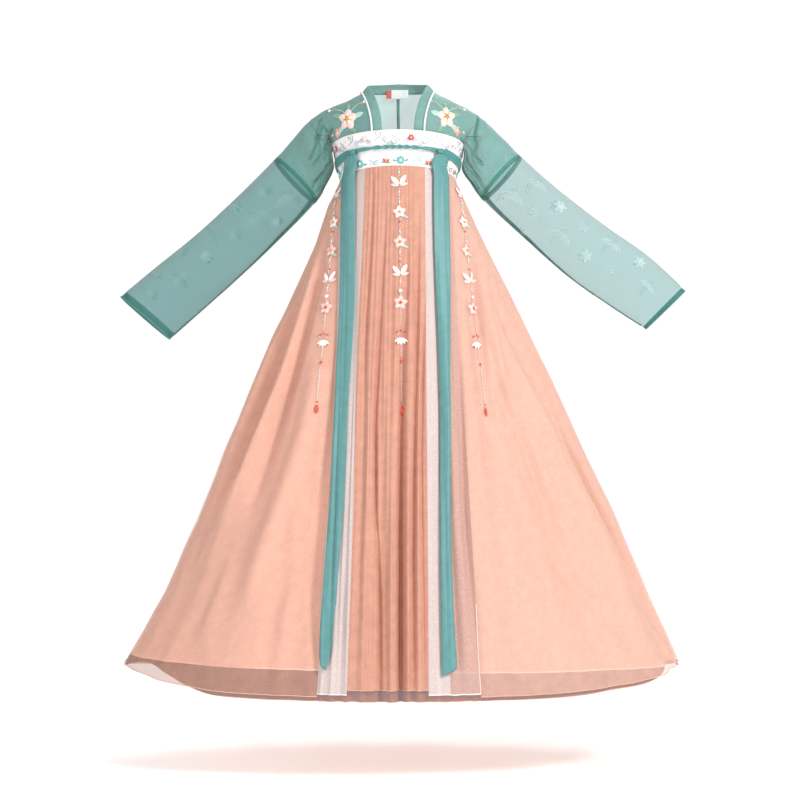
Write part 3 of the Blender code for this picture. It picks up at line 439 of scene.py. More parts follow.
def ridge_point(sections, row):
    ridge = smooth_row(sections, np.maximum(row, 0.0))
    turn = (np.minimum(row, 0.0) + 1) * np.pi / 2
    back, rise = NECK_BACK
    height = mix(rise, sections[0][1], row + 1)
    around = points_of(NECK_HALF_WIDTH * np.sin(turn), back * np.cos(turn), height)
    return np.where((row < 0)[..., None], around, points_of(ridge[..., 0], 0.0, ridge[..., 1]))


def low_point(sections, row, face):
    if face < 0:
        deg = np.interp(row, (0, 1, 2, 3), FRONT_OVAL_DEG)
    else:
        deg = np.interp(row, (-1, 0, 1, 2, 3), BACK_OVAL_DEG)
    on_band = shirt_oval_point(np.radians(deg), -SHIRT_ABOVE_BAND / BAND_HEIGHT)
    low = smooth_row(sections[ARMPIT:], np.maximum(row - ARMPIT, 0.0))
    return np.where((row <= ARMPIT)[..., None], on_band, points_of(low[..., 2], 0.0, low[..., 3]))


def plain_arch(sections, row, share, face):
    row, share = np.broadcast_arrays(np.asarray(row, float), np.asarray(share, float))
    low, ridge = low_point(sections, row, face), ridge_point(sections, row)
    handles = smooth_row(ARCH, np.minimum(row + 1, len(ARCH) - 1))
    blend = ease(row - ARMPIT - 1)
    section = smooth_row(sections, np.maximum(row, 0))
    above = row > ARMPIT
    depth, lean = np.where(above, section[..., 4], 0.0), np.where(above, section[..., 5], 0.0)
    low_out = mix(handles[..., 0], LOW_HANDLE * depth, blend)
    low_rise = mix(handles[..., 1], 0.0, blend)
    top_out = mix(handles[..., 2], TOP_HANDLE * depth, blend)
    p1 = low + points_of(0.0, face * low_out, low_rise)
    p2 = ridge + points_of(0.0, face * top_out, -handles[..., 3])
    t = share[..., None]
    s = 1 - t
    point = low * s**3 + p1 * (3 * s * s * t) + p2 * (3 * s * t * t) + ridge * t**3
    return point - SLEEVE_LEAN * (face * lean * np.sin(np.pi * share))[..., None]


def shirt_surface(side, row, share, face, out=0.0, fine=True):
    """The shirt above the band: share 0 is the underarm or the band, and 1 the line along the top."""
    sections = SECTIONS[side]
    row, share = np.broadcast_arrays(np.asarray(row, float), np.asarray(share, float))
    point = plain_arch(sections, row, share, face)
    low_row, high_row = np.maximum(row - TANGENT_STEP, -1.0), row + TANGENT_STEP
    along_row = plain_arch(sections, high_row, share, face) - plain_arch(sections, low_row, share, face)
    low_share, high_share = np.maximum(share - TANGENT_STEP, 0.0), np.minimum(share + TANGENT_STEP, 1.0)
    along_arch = plain_arch(sections, row, high_share, face) - plain_arch(sections, row, low_share, face)
    normal = unit(np.cross(along_row, along_arch)) * -face
    lift = np.zeros(row.shape)
    for at, at_share, half_row, half_share, slant, depth in SLEEVE_FOLDS:
        centre = at + slant * (share - at_share)
        lift += depth * bump((row - centre) / half_row) * bump((share - at_share) / half_share)
    if fine:
        edge = np.minimum(ease(share / FLAT_EDGE), ease((1 - share) / FLAT_EDGE))
        lift += edge * creased(mirrored(point, side), SHIRT_CREASES[side], face)
        lift += edge * CRUMPLE * ripple(row * 1.6 + side * 3, share * 4.5, 20.0 + face, 2)
    return mirrored(point + normal * (lift + out)[..., None], side)


# The shirt's creases for each side, through pixels of the 800 x 800 picture
SHIRT_CREASES = {
    1: (
        (4.5, -0.0060, ((481, 115), (475, 130), (476, 146), (483, 166))),
        (4.0, 0.0040, ((486, 120), (482, 135), (484, 150), (490, 168))),
        (5.0, -0.0050, ((466, 150), (470, 166), (480, 182), (488, 194))),
        (4.0, 0.0045, ((470, 146), (478, 164), (488, 180))),
        (4.0, -0.0045, ((458, 158), (466, 176), (478, 190))),
        (7.0, 0.0030, ((497, 130), (505, 150), (506, 175))),
        (8.0, -0.0030, ((500, 205), (520, 235), (550, 255), (585, 285))),
        (9.0, 0.0030, ((530, 200), (565, 235), (600, 262))),
        (8.0, -0.0025, ((575, 270), (605, 285), (635, 300))),
    ),
    -1: (
        (4.0, -0.0050, ((322, 118), (316, 140), (309, 160))),
        (4.0, -0.0045, ((333, 128), (327, 145), (324, 160))),
        (4.0, 0.0040, ((328, 120), (321, 142), (315, 165))),
        (4.5, -0.0050, ((330, 160), (322, 175), (312, 188))),
        (4.0, 0.0040, ((338, 140), (333, 155), (328, 165))),
        (6.0, -0.0030, ((300, 130), (295, 150), (294, 168))),
        (8.0, -0.0028, ((285, 215), (258, 240), (230, 270), (205, 292))),
        (9.0, 0.0030, ((262, 200), (225, 240), (190, 268))),
        (8.0, -0.0025, ((200, 280), (180, 295), (165, 310))),
    ),
}


def collar_seam(side, station):
    """The seam between the shirt and its neckband, from the front hem (0) to the centre back (3)."""
    sections = SECTIONS[side]
    if station < 1:
        top = low_point(sections, np.array(0.0), -1)
        angle = math.atan2(top[0] / SHIRT_TOP[0], -top[1] / SHIRT_TOP[1])
        z = mix(COLLAR_HEM_Z, top[2], station)
        share = (band_top_z(angle) - z) / BAND_HEIGHT
        return mirrored(on_oval(mix2(SHIRT_TOP, SHIRT_LOW, min(share, 1.0)), angle, z), side)
    if station < 2:
        return shirt_surface(side, 0.0, station - 1, -1, fine=False)
    return mirrored(ridge_point(sections, np.array(2.0 - station)), side)


COLLAR_LEAN = np.array((
    # station, inward, forward, up
    (0.0, 0.95, 0.23, 0.00),
    (1.0, 0.95, 0.23, 0.02),
    (1.5, 0.90, 0.20, 0.35),
    (2.0, 0.62, 0.02, 0.78),
    (2.5, 0.35, 0.16, 0.92),
    (3.0, 0.00, 0.22, 0.97),
))
NEAR_ROW, NEAR_RIDGE = 0.1, 0.93


def collar_lean(side, station):
    inward, forward, up = (np.interp(station, COLLAR_LEAN[:, 0], COLLAR_LEAN[:, k]) for k in (1, 2, 3))
    return unit(np.array((-side * inward, -forward, up)))


def away_from_collar(side, station):
    """The direction in which the shirt leaves the neckband's seam."""
    if station < 1:
        angle = math.radians(FRONT_OVAL_DEG[0])
        return unit(np.array((side * SHIRT_TOP[0] * math.cos(angle), SHIRT_TOP[1] * math.sin(angle), 0.0)))
    if station < 2:
        near = shirt_surface(side, 0.0, station - 1, -1, fine=False)
        return unit(shirt_surface(side, NEAR_ROW, station - 1, -1, fine=False) - near)
    ridge = shirt_surface(side, 2.0 - station, 1.0, 1, fine=False)
    return unit(shirt_surface(side, 2.0 - station, NEAR_RIDGE, 1, fine=False) - ridge)


def collar_path(stations):
    """(seam point, lean, away) from the right front to the left front, round the back neck."""
    right, left = (
        [(collar_seam(side, s), collar_lean(side, s), away_from_collar(side, s)) for s in stations]
        for side in (-1, 1)
    )
    return right + left[-2::-1]


# ---------------------------------------------------------------- finishes


def colour_of(text):
    """Linear colour from six hexadecimal digits."""
    parts = [int(text[i : i + 2], 16) / 255 for i in (0, 2, 4)]
    return (*[p / 12.92 if p <= 0.04045 else ((p + 0.055) / 1.055) ** 2.4 for p in parts], 1.0)


CLOUD_SCALE, CLOUD_DETAIL, CLOUD_SPAN = 42.0, 4.0, (0.3, 0.7)
SPECK_SCALE, SPECK_SPAN, SPECK_DENSER = 420.0, (0.27, 0.11), 0.14
THREAD_SCALE, THREAD_DETAIL, THREAD_HEIGHT = 900.0, 1.0, 0.0004


def finish(
    name, colour, alpha=1.0, roughness=0.8, sheen=0.2, speck=None, cloudy=0.0, weave=0.0, metallic=0.0
):
    """A fibre or bead finish. speck is the fine glints' colour, cloudy how uneven it is, weave its relief."""
    made = bpy.data.materials.new(name)
    made.use_nodes = True
    nodes, links = made.node_tree.nodes, made.node_tree.links

    def give(node, **inputs):
        """Sets a node's inputs, named with _ for spaces, to constants or to other nodes' outputs."""
        for key, value in inputs.items():
            socket = node.inputs[key.replace("_", " ")]
            if isinstance(value, bpy.types.NodeSocket):
                links.new(value, socket)
            else:
                socket.default_value = value
        return node

    base = colour_of(colour)
    shader = give(
        nodes["Principled BSDF"], Base_Color=base, Roughness=roughness, Metallic=metallic, Sheen_Weight=sheen,
        Alpha=alpha,
    )
    made.diffuse_color = (*base[:3], alpha)
    if not (speck or cloudy or weave):
        return made
    place = nodes.new("ShaderNodeUVMap")
    place.uv_map = "cloth"
    place = place.outputs["UV"]
    if cloudy:
        clouds = give(nodes.new("ShaderNodeTexNoise"), Scale=CLOUD_SCALE, Detail=CLOUD_DETAIL, Vector=place)
        shade = give(
            nodes.new("ShaderNodeMapRange"), From_Min=CLOUD_SPAN[0], From_Max=CLOUD_SPAN[1],
            To_Min=1 - cloudy, To_Max=1 + cloudy, Value=clouds.outputs["Fac"],
        )
        tint = nodes.new("ShaderNodeVectorMath")
        tint.operation = "SCALE"
        tint.inputs[0].default_value = base[:3]
        base = give(tint, Scale=shade.outputs["Result"]).outputs["Vector"]
    if speck:
        cells = give(nodes.new("ShaderNodeTexVoronoi"), Scale=SPECK_SCALE, Vector=place)
        dots = give(
            nodes.new("ShaderNodeMapRange"), From_Min=SPECK_SPAN[0], From_Max=SPECK_SPAN[1],
            Value=cells.outputs["Distance"],
        )
        blend = nodes.new("ShaderNodeMix")
        blend.data_type = "RGBA"
        base = give(blend, A=base, B=colour_of(speck), Factor=dots.outputs["Result"]).outputs["Result"]
        if alpha < 1:
            denser = give(
                nodes.new("ShaderNodeMapRange"), To_Min=alpha, To_Max=min(alpha + SPECK_DENSER, 1.0),
                Value=dots.outputs["Result"],
            )
            give(shader, Alpha=denser.outputs["Result"])
    give(shader, Base_Color=base)
    if weave:
        threads = nodes.new("ShaderNodeTexNoise")
        give(threads, Scale=THREAD_SCALE, Detail=THREAD_DETAIL, Vector=place)
        relief = give(
            nodes.new("ShaderNodeBump"), Strength=weave, Distance=THREAD_HEIGHT, Height=threads.outputs["Fac"]
        )
        give(shader, Normal=relief.outputs["Normal"])
    return made


def organza(name, colour, alpha, cloudy=0.06):
    return finish(name, colour, alpha, 0.6, 0.05, cloudy=cloudy, weave=0.25)


def tulle(name, colour, alpha, speck, cloudy=0.05, sheen=0.08):
    return finish(name, colour, alpha, 0.7, sheen, speck=speck, cloudy=cloudy)


def thread(name, colour, roughness=0.5, sheen=0.3, metallic=0.0):
    return finish(name, colour, 1.0, roughness, sheen, metallic=metallic)


# Painted shade and painted light: the wearer's right copy of the sleeve organza is darker and denser and the
# left lighter, for how light falls on each side.
SLEEVE_ORGANZA_LIT_SHADED = {-1: organza("organza right shaded copy", "1E827F", 0.555), 1: organza("organza left lit copy", "2F9291", 0.34)}
# The body's copies are shaded on the right and lit on the left too. They are denser than the sleeves', partly
# for gathered, slanting cloth and partly as painted shade at the shoulders.
BODY_ORGANZA_LIT_SHADED = {
    -1: organza("organza body right shaded copy", "21746A", 0.74, 0.12),
    1: organza("organza body left lit copy", "2C857D", 0.60, 0.12),
}
# Painted light: the shirt's back face is much lighter, to undo the shade inside the shirt.
ORGANZA_BACK_PAINTED_LIGHT = organza("organza back painted light", "5AD3C4", 0.46, 0.08)
# Painted crease shade: darker strips laid along the deeper creases, partly the denser look of folded sheer
# cloth.
FOLD_SHADE = finish("folded organza painted crease shade", "2A6C65", 0.42, 0.6, 0.1)
SEAM = finish("doubled organza", "2F6A64", 0.80, 0.6, 0.1, weave=0.3)
# The motifs' pale tone, with the right copy darker as painted shade and the left lighter as painted light.
WOVEN_RELIEF_LIT_SHADED = {
    -1: finish("woven motif right shaded copy", "A5CBC7", 0.28, 0.4, 0.1),
    1: finish("woven motif left lit copy", "D0E8E5", 0.28, 0.4, 0.1),
}
COLLAR_GREEN = finish("neckband green", "73A79F", 0.76, 0.6, 0.1, cloudy=0.12, weave=0.4)
GREEN_EDGE = finish("cuff and neckband green", "4A877D", 1.0, 0.6, 0.15, cloudy=0.12, weave=0.4)
CUFF_GREEN = finish("cuff green", "2F6F69", 0.93, 0.6, 0.1, cloudy=0.08, weave=0.4)
SATIN_GREEN = finish("tie satin", "4C8F8A", 1.0, 0.42, 0.15, cloudy=0.10, weave=0.3)
STREAMER_GREEN = finish("streamer satin", "5C9392", 1.0, 0.5, 0.12, cloudy=0.08, weave=0.3)
WHITE_TRIM = finish("white trim", "F4F2EF", 1.0, 0.55, 0.2, weave=0.3)
BAND_WHITE = finish("band satin", "FAFAF9", 1.0, 0.45, 0.1, cloudy=0.03, weave=0.3)
# Lit and shaded copies of one tulle: the right copy is lighter as painted light, to make up for the lesser
# light on that side.
TULLE_LIT_SHADED = {
    -1: tulle("peach tulle right lit copy", "FBC4AE", 0.60, "FFDAC9"),
    1: tulle("peach tulle left shaded copy", "F1C4B1", 0.56, "FBDDCF"),
}
UNDER = tulle("peach tulle under", "EEBCA7", 0.58, "FBE3D8")
PLEATED = tulle("deep peach chiffon", "D19781", 0.93, "E8B7A4", 0.08)
WHITE_SHEER = finish("white chiffon", "DCCAC6", 0.84, 0.65, 0.1, speck="FFFFFF")
LINING = finish("lining", "F6D0BE", 1.0, 0.7, 0.08, cloudy=0.02)
HEM_ROLL = finish("rolled hem", "E8B7A0", 0.9, 0.7, 0.3)
PINK_SHEER = finish("pink chiffon", "D5AA9E", 0.70, 0.65, 0.1, speck="F8E4DC")
# Painted shade inside the skirt: the tulle below the lining's end is darker, most on the wearer's right and
# on the under layer.
HEM_TULLE_PAINTED_SHADE = {
    -1: tulle("unlined tulle right painted shade", "BF8B77", 0.62, "D3A995", 0.08, 0.1),
    1: tulle("unlined tulle left painted shade", "DDAC9A", 0.62, "E8C2B3", 0.08, 0.1),
}
HEM_SHADE_UNDER = tulle("unlined tulle under painted shade", "8E5140", 0.88, "BA8F7C", 0.10, 0.1)
WHITE_ROLL = finish("white rolled hem", "FBF3F0", 0.95, 0.6, 0.3)
BLANK = finish("label cloth", "F1F4F3", 1.0, 0.6, 0.1, weave=0.4)
CORAL_TAB = finish("tab cloth", "D9584A", 1.0, 0.6, 0.1, weave=0.4)
THREADS = {
    "pearl": thread("pearl", "FBF6F2", 0.22, 0.0),
    "gold": thread("gold thread", "D9A441", 0.38, 0.1, 0.5),
    "coral": thread("coral thread", "D4523F", 0.4, 0.2),
    "pink": thread("pink thread", "F0A79C", 0.55),
    "blush": thread("blush thread", "F3D3CA"),
    "leaf": thread("leaf thread", "78A58E", 0.55),
    "pale": thread("pale green thread", "A9D3C4"),
    "aqua": thread("aqua thread", "6FB9BC"),
    "lilac": thread("lilac grey thread", "A9A6BE"),
    "slate": thread("dark curl thread", "5E6E74"),
    "silver": thread("silver chain", "F0EBE7", 0.3, 0.0, 0.15),
    "white": thread("white thread", "FFFDFB", 0.5, 0.4),
}

# ---------------------------------------------------------------- meshes


def steps(first, last, count):
    return np.linspace(first, last, count + 1)


class Shell:
    """One cloth piece from grids of points, welded where they meet."""

    def __init__(self, name, slot, finishes, nodes=()):
        self.name, self.slot, self.finishes, self.nodes = name, slot, finishes, nodes
        self.points, self.faces, self.kinds, self.uvs, self.count = [], [], [], [], 0

    def grid(self, points, kind=0, closed=False):
        """Adds rows of points, mapped by their distances; closed joins each row's last point to its first."""
        rows, columns = points.shape[:2]
        index = np.arange(rows * columns).reshape(rows, columns) + self.count
        if closed:
            index = np.concatenate([index, index[:, :1]], axis=1)
        quads = np.stack([index[:-1, :-1], index[:-1, 1:], index[1:, 1:], index[1:, :-1]], axis=-1)
        self.faces.append(quads.reshape(-1, 4))
        self.kinds.append(np.full(len(self.faces[-1]), kind))
        self.points.append(points.reshape(-1, 3))
        across = np.linalg.norm(np.diff(points, axis=1, prepend=points[:, :1]), axis=-1).cumsum(axis=1)
        down = np.linalg.norm(np.diff(points, axis=0, prepend=points[:1]), axis=-1).cumsum(axis=0)
        self.uvs.append(np.stack([across, down], axis=-1).reshape(-1, 2))
        self.count += rows * columns
        return self

    def build(self, weld=0.0, thick=0.0):
        """Makes the piece; weld is how near two points become one, and thick the wall that it is given."""
        points, faces = np.concatenate(self.points), np.concatenate(self.faces)
        uvs, kinds = np.concatenate(self.uvs), np.concatenate(self.kinds)
        mesh = bpy.data.meshes.new(self.name)
        mesh.from_pydata(points.tolist(), [], faces.tolist())
        layer = mesh.uv_layers.new(name="cloth")
        layer.data.foreach_set("uv", uvs[faces.reshape(-1)].reshape(-1))
        for made in self.finishes:
            mesh.materials.append(made)
        mesh.polygons.foreach_set("material_index", kinds.astype(np.int32))
        if weld:
            shape = bmesh.new()
            shape.from_mesh(mesh)
            bmesh.ops.remove_doubles(shape, verts=shape.verts, dist=weld)
            bmesh.ops.recalc_face_normals(shape, faces=shape.faces)
            shape.to_mesh(mesh)
            shape.free()
        mesh.shade_smooth()
        made = add_object(self.name, mesh)
        if thick:
            modifier = made.modifiers.new("thickness", "SOLIDIFY")
            modifier.thickness, modifier.offset = thick, 0.0
        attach(made, "root")
        if self.nodes:
            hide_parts(*self.nodes)
        return made


def tube(shell, path, radius, kind, sides=6, flat=1.0):
    """A rolled edge along a path of points."""
    along = unit(np.gradient(path, axis=0))
    side = unit(np.cross(along, np.where(np.abs(along[:, 2:]) > 0.9, (1.0, 0.0, 0.0), (0.0, 0.0, 1.0))))
    up = np.cross(side, along)
    turns = np.arange(sides) * 2 * np.pi / sides
    ring = side[:, None] * np.cos(turns)[:, None] + up[:, None] * np.sin(turns)[:, None] * flat
    shell.grid(path[:, None] + ring * radius, kind=kind, closed=True)


SMALL = 1e-3  # of either number of a surface, for its slopes
CURL_TURNS = 1.4


def bent_path(x, y, angle, length, bend, t):
    """A path from (x, y) at an angle, which turns by bend along it."""
    turn = angle + bend * t
    return np.stack([x + length * t * np.cos(turn), y + length * t * np.sin(turn)], axis=-1)


class Stitches:
    """Raised shapes drawn in metres and laid on one cloth surface, in one piece."""

    def __init__(self, name, slot, surface, finishes, rough=None, face=-1, reach=(10.0, 0.2)):
        """rough is the surface without its finest folds, and reach the longest step that find takes."""
        self.surface, self.rough, self.kinds = surface, rough or surface, list(finishes)
        self.face, self.reach = face, reach
        self.shell = Shell(name, slot, list(finishes.values()))
        self.todo = []

    def slopes(self, u, v):
        """Tangents of the surface for each unit of u and of v."""
        along_u = (self.rough(u + SMALL, v, 0.0) - self.rough(u - SMALL, v, 0.0)) / (2 * SMALL)
        along_v = (self.rough(u, v + SMALL, 0.0) - self.rough(u, v - SMALL, 0.0)) / (2 * SMALL)
        return along_u, along_v

    def find(self, px, py, u, v):
        """Where on the surface a pixel of the 800 x 800 picture falls, sought from a first guess."""
        for _ in range(9):
            x, y = pixels(self.rough(np.array((u, u + SMALL, u)), np.array((v, v, v + SMALL)), 0.0))
            (a, b), (c, d) = (x[1:] - x[0]) / SMALL, (y[1:] - y[0]) / SMALL
            size = a * d - b * c
            if abs(size) < 1e-9:
                break
            ex, ey = px - x[0], py - y[0]
            u += float(np.clip((ex * d - ey * b) / size, -self.reach[0], self.reach[0]))
            v += float(np.clip((ey * a - ex * c) / size, -self.reach[1], self.reach[1]))
        return u, v

    def spot(self, u, v, turn=0.0):
        """Turns metres across and up at a place on the surface into its own two numbers."""
        along_u, along_v = self.slopes(np.array(u), np.array(v))
        normal = unit(np.cross(along_u, along_v))
        up = unit(np.array((0.0, 0.0, 1.0)) - normal * normal[2])
        across = unit(np.cross(up, normal))
        if across[0] * -self.face < 0:
            across = -across
        a, b = across * math.cos(turn) + up * math.sin(turn), up * math.cos(turn) - across * math.sin(turn)
        metric = np.array(((along_u @ along_u, along_u @ along_v), (along_u @ along_v, along_v @ along_v)))
        matrix = np.linalg.inv(metric) @ np.array(((along_u @ a, along_u @ b), (along_v @ a, along_v @ b)))
        return np.array((u, v)), matrix

    def lay(self, spot, a, b, lift, kind, closed=False):
        """Keeps a grid of points, a across and b up from a spot, for build."""
        (u, v), m = spot
        self.todo.append((u + m[0, 0] * a + m[0, 1] * b, v + m[1, 0] * a + m[1, 1] * b, lift, kind, closed))

    def ribbon(self, spot, path, half, height, kind, base=0.0004):
        """A raised strip along a path of (a, b) in metres; half is its half width along the way."""
        path = np.asarray(path, float)
        half = np.broadcast_to(half, len(path))
        along = unit(np.gradient(path, axis=0))
        across = np.array((-1.0, -0.6, 0.0, 0.6, 1.0))
        a = path[:, :1] - along[:, 1:] * half[:, None] * across
        b = path[:, 1:] + along[:, :1] * half[:, None] * across
        ends = np.minimum(half / max(half.max(), 1e-9), 1.0)[:, None]
        self.lay(spot, a, b, base + height * (1 - across**2) * ends, kind)

    def petal(self, spot, x, y, angle, length, width, kind, height=0.0012, base=0.0004):
        t = steps(0.0, 1.0, 6)
        half = width / 2 * np.sin(np.pi * np.clip(t, 0.03, 0.97)) ** 0.6
        self.ribbon(spot, bent_path(x, y, angle, length, 0.0, t), half, height, kind, base)

    def bead(self, spot, x, y, radius, kind, base=0.0002, long=1.0):
        rise, turn = grid_of(steps(-0.35, 1.0, 3) * np.pi / 2, np.arange(7) * 2 * np.pi / 7)
        a = x + radius * np.cos(rise) * np.cos(turn)
        b = y + radius * long * np.cos(rise) * np.sin(turn)
        self.lay(spot, a, b, base + radius * (np.sin(rise) + 0.35), kind, closed=True)

    def curl(self, spot, x, y, angle, size, kind, half=0.0008, hand=1, tail=0.0):
        """A scroll: a stem of length tail that winds into a spiral."""
        t = steps(0.0, 1.0, 22)
        radius = size * (1 - 0.82 * t)
        first = angle - hand * np.pi / 2
        swing = angle + hand * (2 * np.pi * CURL_TURNS * t - np.pi / 2)
        cx, cy = x - size * math.cos(first), y - size * math.sin(first)
        path = np.stack([cx + radius * np.cos(swing), cy + radius * np.sin(swing)], axis=-1)
        if tail:
            back = np.array((math.cos(angle), math.sin(angle))) * -tail
            path = np.concatenate([[path[0] + back, path[0] + back / 2], path])
        self.ribbon(spot, path, mix(half, half * 0.5, np.linspace(0, 1, len(path))), 0.0009, kind)

    def blossom(self, spot, x, y, size, kind, petals=5, centre="gold", turn=0.3, height=0.0016):
        for k in range(petals):
            angle = turn + 2 * math.pi * k / petals
            self.petal(spot, x, y, angle, size, size * 0.72, kind, height)
        self.bead(spot, x, y, size * 0.24, centre, base=height * 0.5)

    def build(self):
        flat = [
            np.concatenate([np.broadcast_to(part[k], part[0].shape).reshape(-1) for part in self.todo])
            for k in range(3)
        ]
        points = self.surface(*flat)
        at = 0
        for u, _, _, kind, closed in self.todo:
            block = points[at : at + u.size].reshape(*u.shape, 3)
            self.shell.grid(block, kind=self.kinds.index(kind), closed=closed)
            at += u.size
        return self.shell.build()


# ---------------------------------------------------------------- skirt

PLEATS, PLEAT_COLUMNS = 14, 12  # columns of points for each; the solid has 12 pleats
PLEAT_CREST, PLEAT_FALL = 0.70, 0.76  # where in its width a pleat is full, and falls again
PLEAT_HEIGHTS = (0.0, 0.35, 0.75, 1.0), (0.0014, 0.0021, 0.0016, 0.0014)  # share, height
PLEATS_MEET = 0.30, 0.3  # share from which every second one sinks, and over how much
CENTRE_SWAY, SIDE_SWAY = (2.4, 0.38, 0.32), (0.16, 0.47, 0.40)  # size, share, half share
LINED_ROWS, BELOW_LINING = 0.94, 0.002  # rows above the line where the lining ends, as a share, and its drop
UNDER_RAISED = (
    # deg, half_deg, share of the height
    (-90.0, 8.5, 0.030),
    (90.0, 8.0, 0.024),
)
PINK_FROM = 0.42  # how far across the left white panel the thinner pink cloth begins
HEM_RADIUS, WHITE_HEM_RADIUS, EDGE_ROWS = 0.0011, 0.0015, 26  # the rows of the pink cloth's rolled side edge
CLOSING_WELD = 2e-5


def pleat_lift(deg, share):
    """The centre panel's pleats: fourteen fine ones at the band, which run together lower down."""
    across = (deg - RIGHT_CENTRE) / (LEFT_CENTRE - RIGHT_CENTRE) * PLEATS
    inside = np.clip(np.minimum(across, PLEATS - across), 0, None)
    uneven = 0.45 * ripple(across * 0.8, 0.3, 41.0, 1) + 0.35 * ripple(across * 0.5, share * 2.6, 40.0, 1)
    at = across + uneven * ease(inside / 1.5)
    k = np.floor(at)
    t = at - k
    crest = ease(t / PLEAT_CREST) * (1 - ease((t - PLEAT_FALL) / (1 - PLEAT_FALL)))
    weight = 0.25 + 1.05 * np.abs(np.sin(k * 2.4)) ** 1.5
    weight = weight * np.where(k % 2 > 0, 1 - 0.8 * ease((share - PLEATS_MEET[0]) / PLEATS_MEET[1]), 1.0)
    height = np.interp(share, *PLEAT_HEIGHTS)
    return (height * weight * crest + 0.0006 * ease(share / 0.2)) * ease(inside / 0.5)


def lining_hem(deg):
    """How far down the skirt the lining ends."""
    top, hem = plain_skirt(deg, np.zeros(deg.shape), 2), plain_skirt(deg, np.ones(deg.shape), 2)
    level = LINING_HEM_Z - LINING_HEM_TILT * hem[..., 0] / HEM[0]
    return (top[..., 2] - level) / (top[..., 2] - hem[..., 2])


def swayed(deg, share):
    """Two seams of the wearer's right sway part of the way down: the centre panel's and the side panel's."""
    def sway(seam, size, at, half, span):
        return size * bump((share - at) / half) * np.clip(1 - np.abs(deg - seam) / span, 0, 1)

    width = RIGHT_CENTRE - RIGHT_WHITE
    centre = sway(RIGHT_CENTRE, *CENTRE_SWAY, np.where(deg < RIGHT_CENTRE, width, -RIGHT_CENTRE))
    side = sway(RIGHT_WHITE, SIDE_SWAY[0] * width, *SIDE_SWAY[1:], width)
    return deg - centre + side


def skirt_piece(
    name, slot, finishes, nodes, degs, hem, layer, rows=150, lift=None, roll=HEM_RADIUS, third_from=None
):
    """A panel of the skirt, rolled at the hem. A third finish is below the lining, as painted shade inside
    the skirt, or from a degree on.
    """
    ends = (hem(degs) if callable(hem) else np.full(degs.shape, hem))[:, None]
    part = steps(0.0, 1.0, rows)[None]
    share = part * ends
    # Below the lining's end the third finish is painted shade.
    unlined = len(finishes) > 2 and third_from is None
    if unlined:
        line = (lining_hem((degs + 180.0) % 360.0 - 180.0) + BELOW_LINING)[:, None]
        below = mix(line, ends, (part - LINED_ROWS) / (1 - LINED_ROWS))
        share = np.where(part <= LINED_ROWS, part / LINED_ROWS * line, below)
    deg = np.broadcast_to(degs[:, None], share.shape)
    out = lift(deg, share) if lift else 0.0
    points = skirt_surface(deg if layer else swayed(deg, share), share, layer, out)
    shell = Shell(name, slot, finishes, nodes).grid(points)
    if len(finishes) > 2:
        middle_deg, middle_part = (deg[1:, 1:] + deg[:-1, :-1]) / 2, (part[:, 1:] + part[:, :-1]) / 2
        third = middle_part > LINED_ROWS if unlined else middle_deg > third_from
        shell.kinds[0] = np.where(np.broadcast_to(third, middle_deg.shape), 2, 0).reshape(-1)
    tube(shell, points[:, -1], roll, 1)
    if third_from is not None:
        tube(shell, points[-1, -EDGE_ROWS:], roll / 2, 1)
    return shell.build(weld=CLOSING_WELD if abs(degs[-1] - degs[0]) == 360 else 0.0)


def fine_hem(base, amount, seed):
    """A hem that waves up and down a little."""
    return lambda degs: base + amount * ripple(degs * 0.12, degs * 0.0, seed)


def under_hem(degs):
    """The under layer ends higher at both sides, where the outer tulle is seen alone."""
    raised = sum(rise * bump((degs - deg) / half) for deg, half, rise in UNDER_RAISED)
    return fine_hem(UNDER_HEM, 0.001, 60.0)(degs) - raised


made = {}
made["lining"] = skirt_piece(
    "skirt_lining_cloth", "lining", [LINING, LINING], ["skirt_lining"],
    steps(-180.0, 180.0, 340), lining_hem, 2, 110,
)
made["under"] = skirt_piece(
    "skirt_front_under_cloth", "peach_tulle", [UNDER, HEM_ROLL, HEM_SHADE_UNDER], ["skirt_front_under"],
    steps(-SIDE_SEAM_DEG, SIDE_SEAM_DEG, 230), under_hem, 1,
)
made["back"] = skirt_piece(
    "skirt_back_cloth", "peach_tulle", [UNDER, HEM_ROLL, HEM_TULLE_PAINTED_SHADE[1]],
    ["skirt_back_left", "skirt_back_centre", "skirt_back_right"],
    steps(SIDE_SEAM_DEG, 360.0 - SIDE_SEAM_DEG, 260), fine_hem(UNDER_HEM, 0.001, 64.0), 1,
)
for key, (first, last), seed in (
    ("side_right", (-SIDE_SEAM_DEG, RIGHT_WHITE), 10),
    ("white_right", (RIGHT_WHITE, RIGHT_CENTRE), 11),
    ("white_left", (LEFT_CENTRE, LEFT_WHITE), 10),
    ("side_left", (LEFT_WHITE, SIDE_SEAM_DEG), 9),
):
    kind, side = key.split("_")
    node = f"{kind}_panel_{side}"
    sign = -1 if side == "right" else 1
    if kind == "side":
        made[key] = skirt_piece(
            node + "_cloth", "peach_tulle", [TULLE_LIT_SHADED[sign], HEM_ROLL, HEM_TULLE_PAINTED_SHADE[sign]], [node],
            steps(first, last, 110), fine_hem(SIDE_HEM, 0.0012, seed), 0,
        )
    else:
        made[key] = skirt_piece(
            node + "_cloth", "white_chiffon", [WHITE_SHEER, WHITE_ROLL] + [PINK_SHEER] * (side == "left"),
            [node], steps(first, last, 34), fine_hem(WHITE_HEM, 0.0012, seed), 0, roll=WHITE_HEM_RADIUS,
            third_from=mix(LEFT_CENTRE, LEFT_WHITE, PINK_FROM) if side == "left" else None,
        )
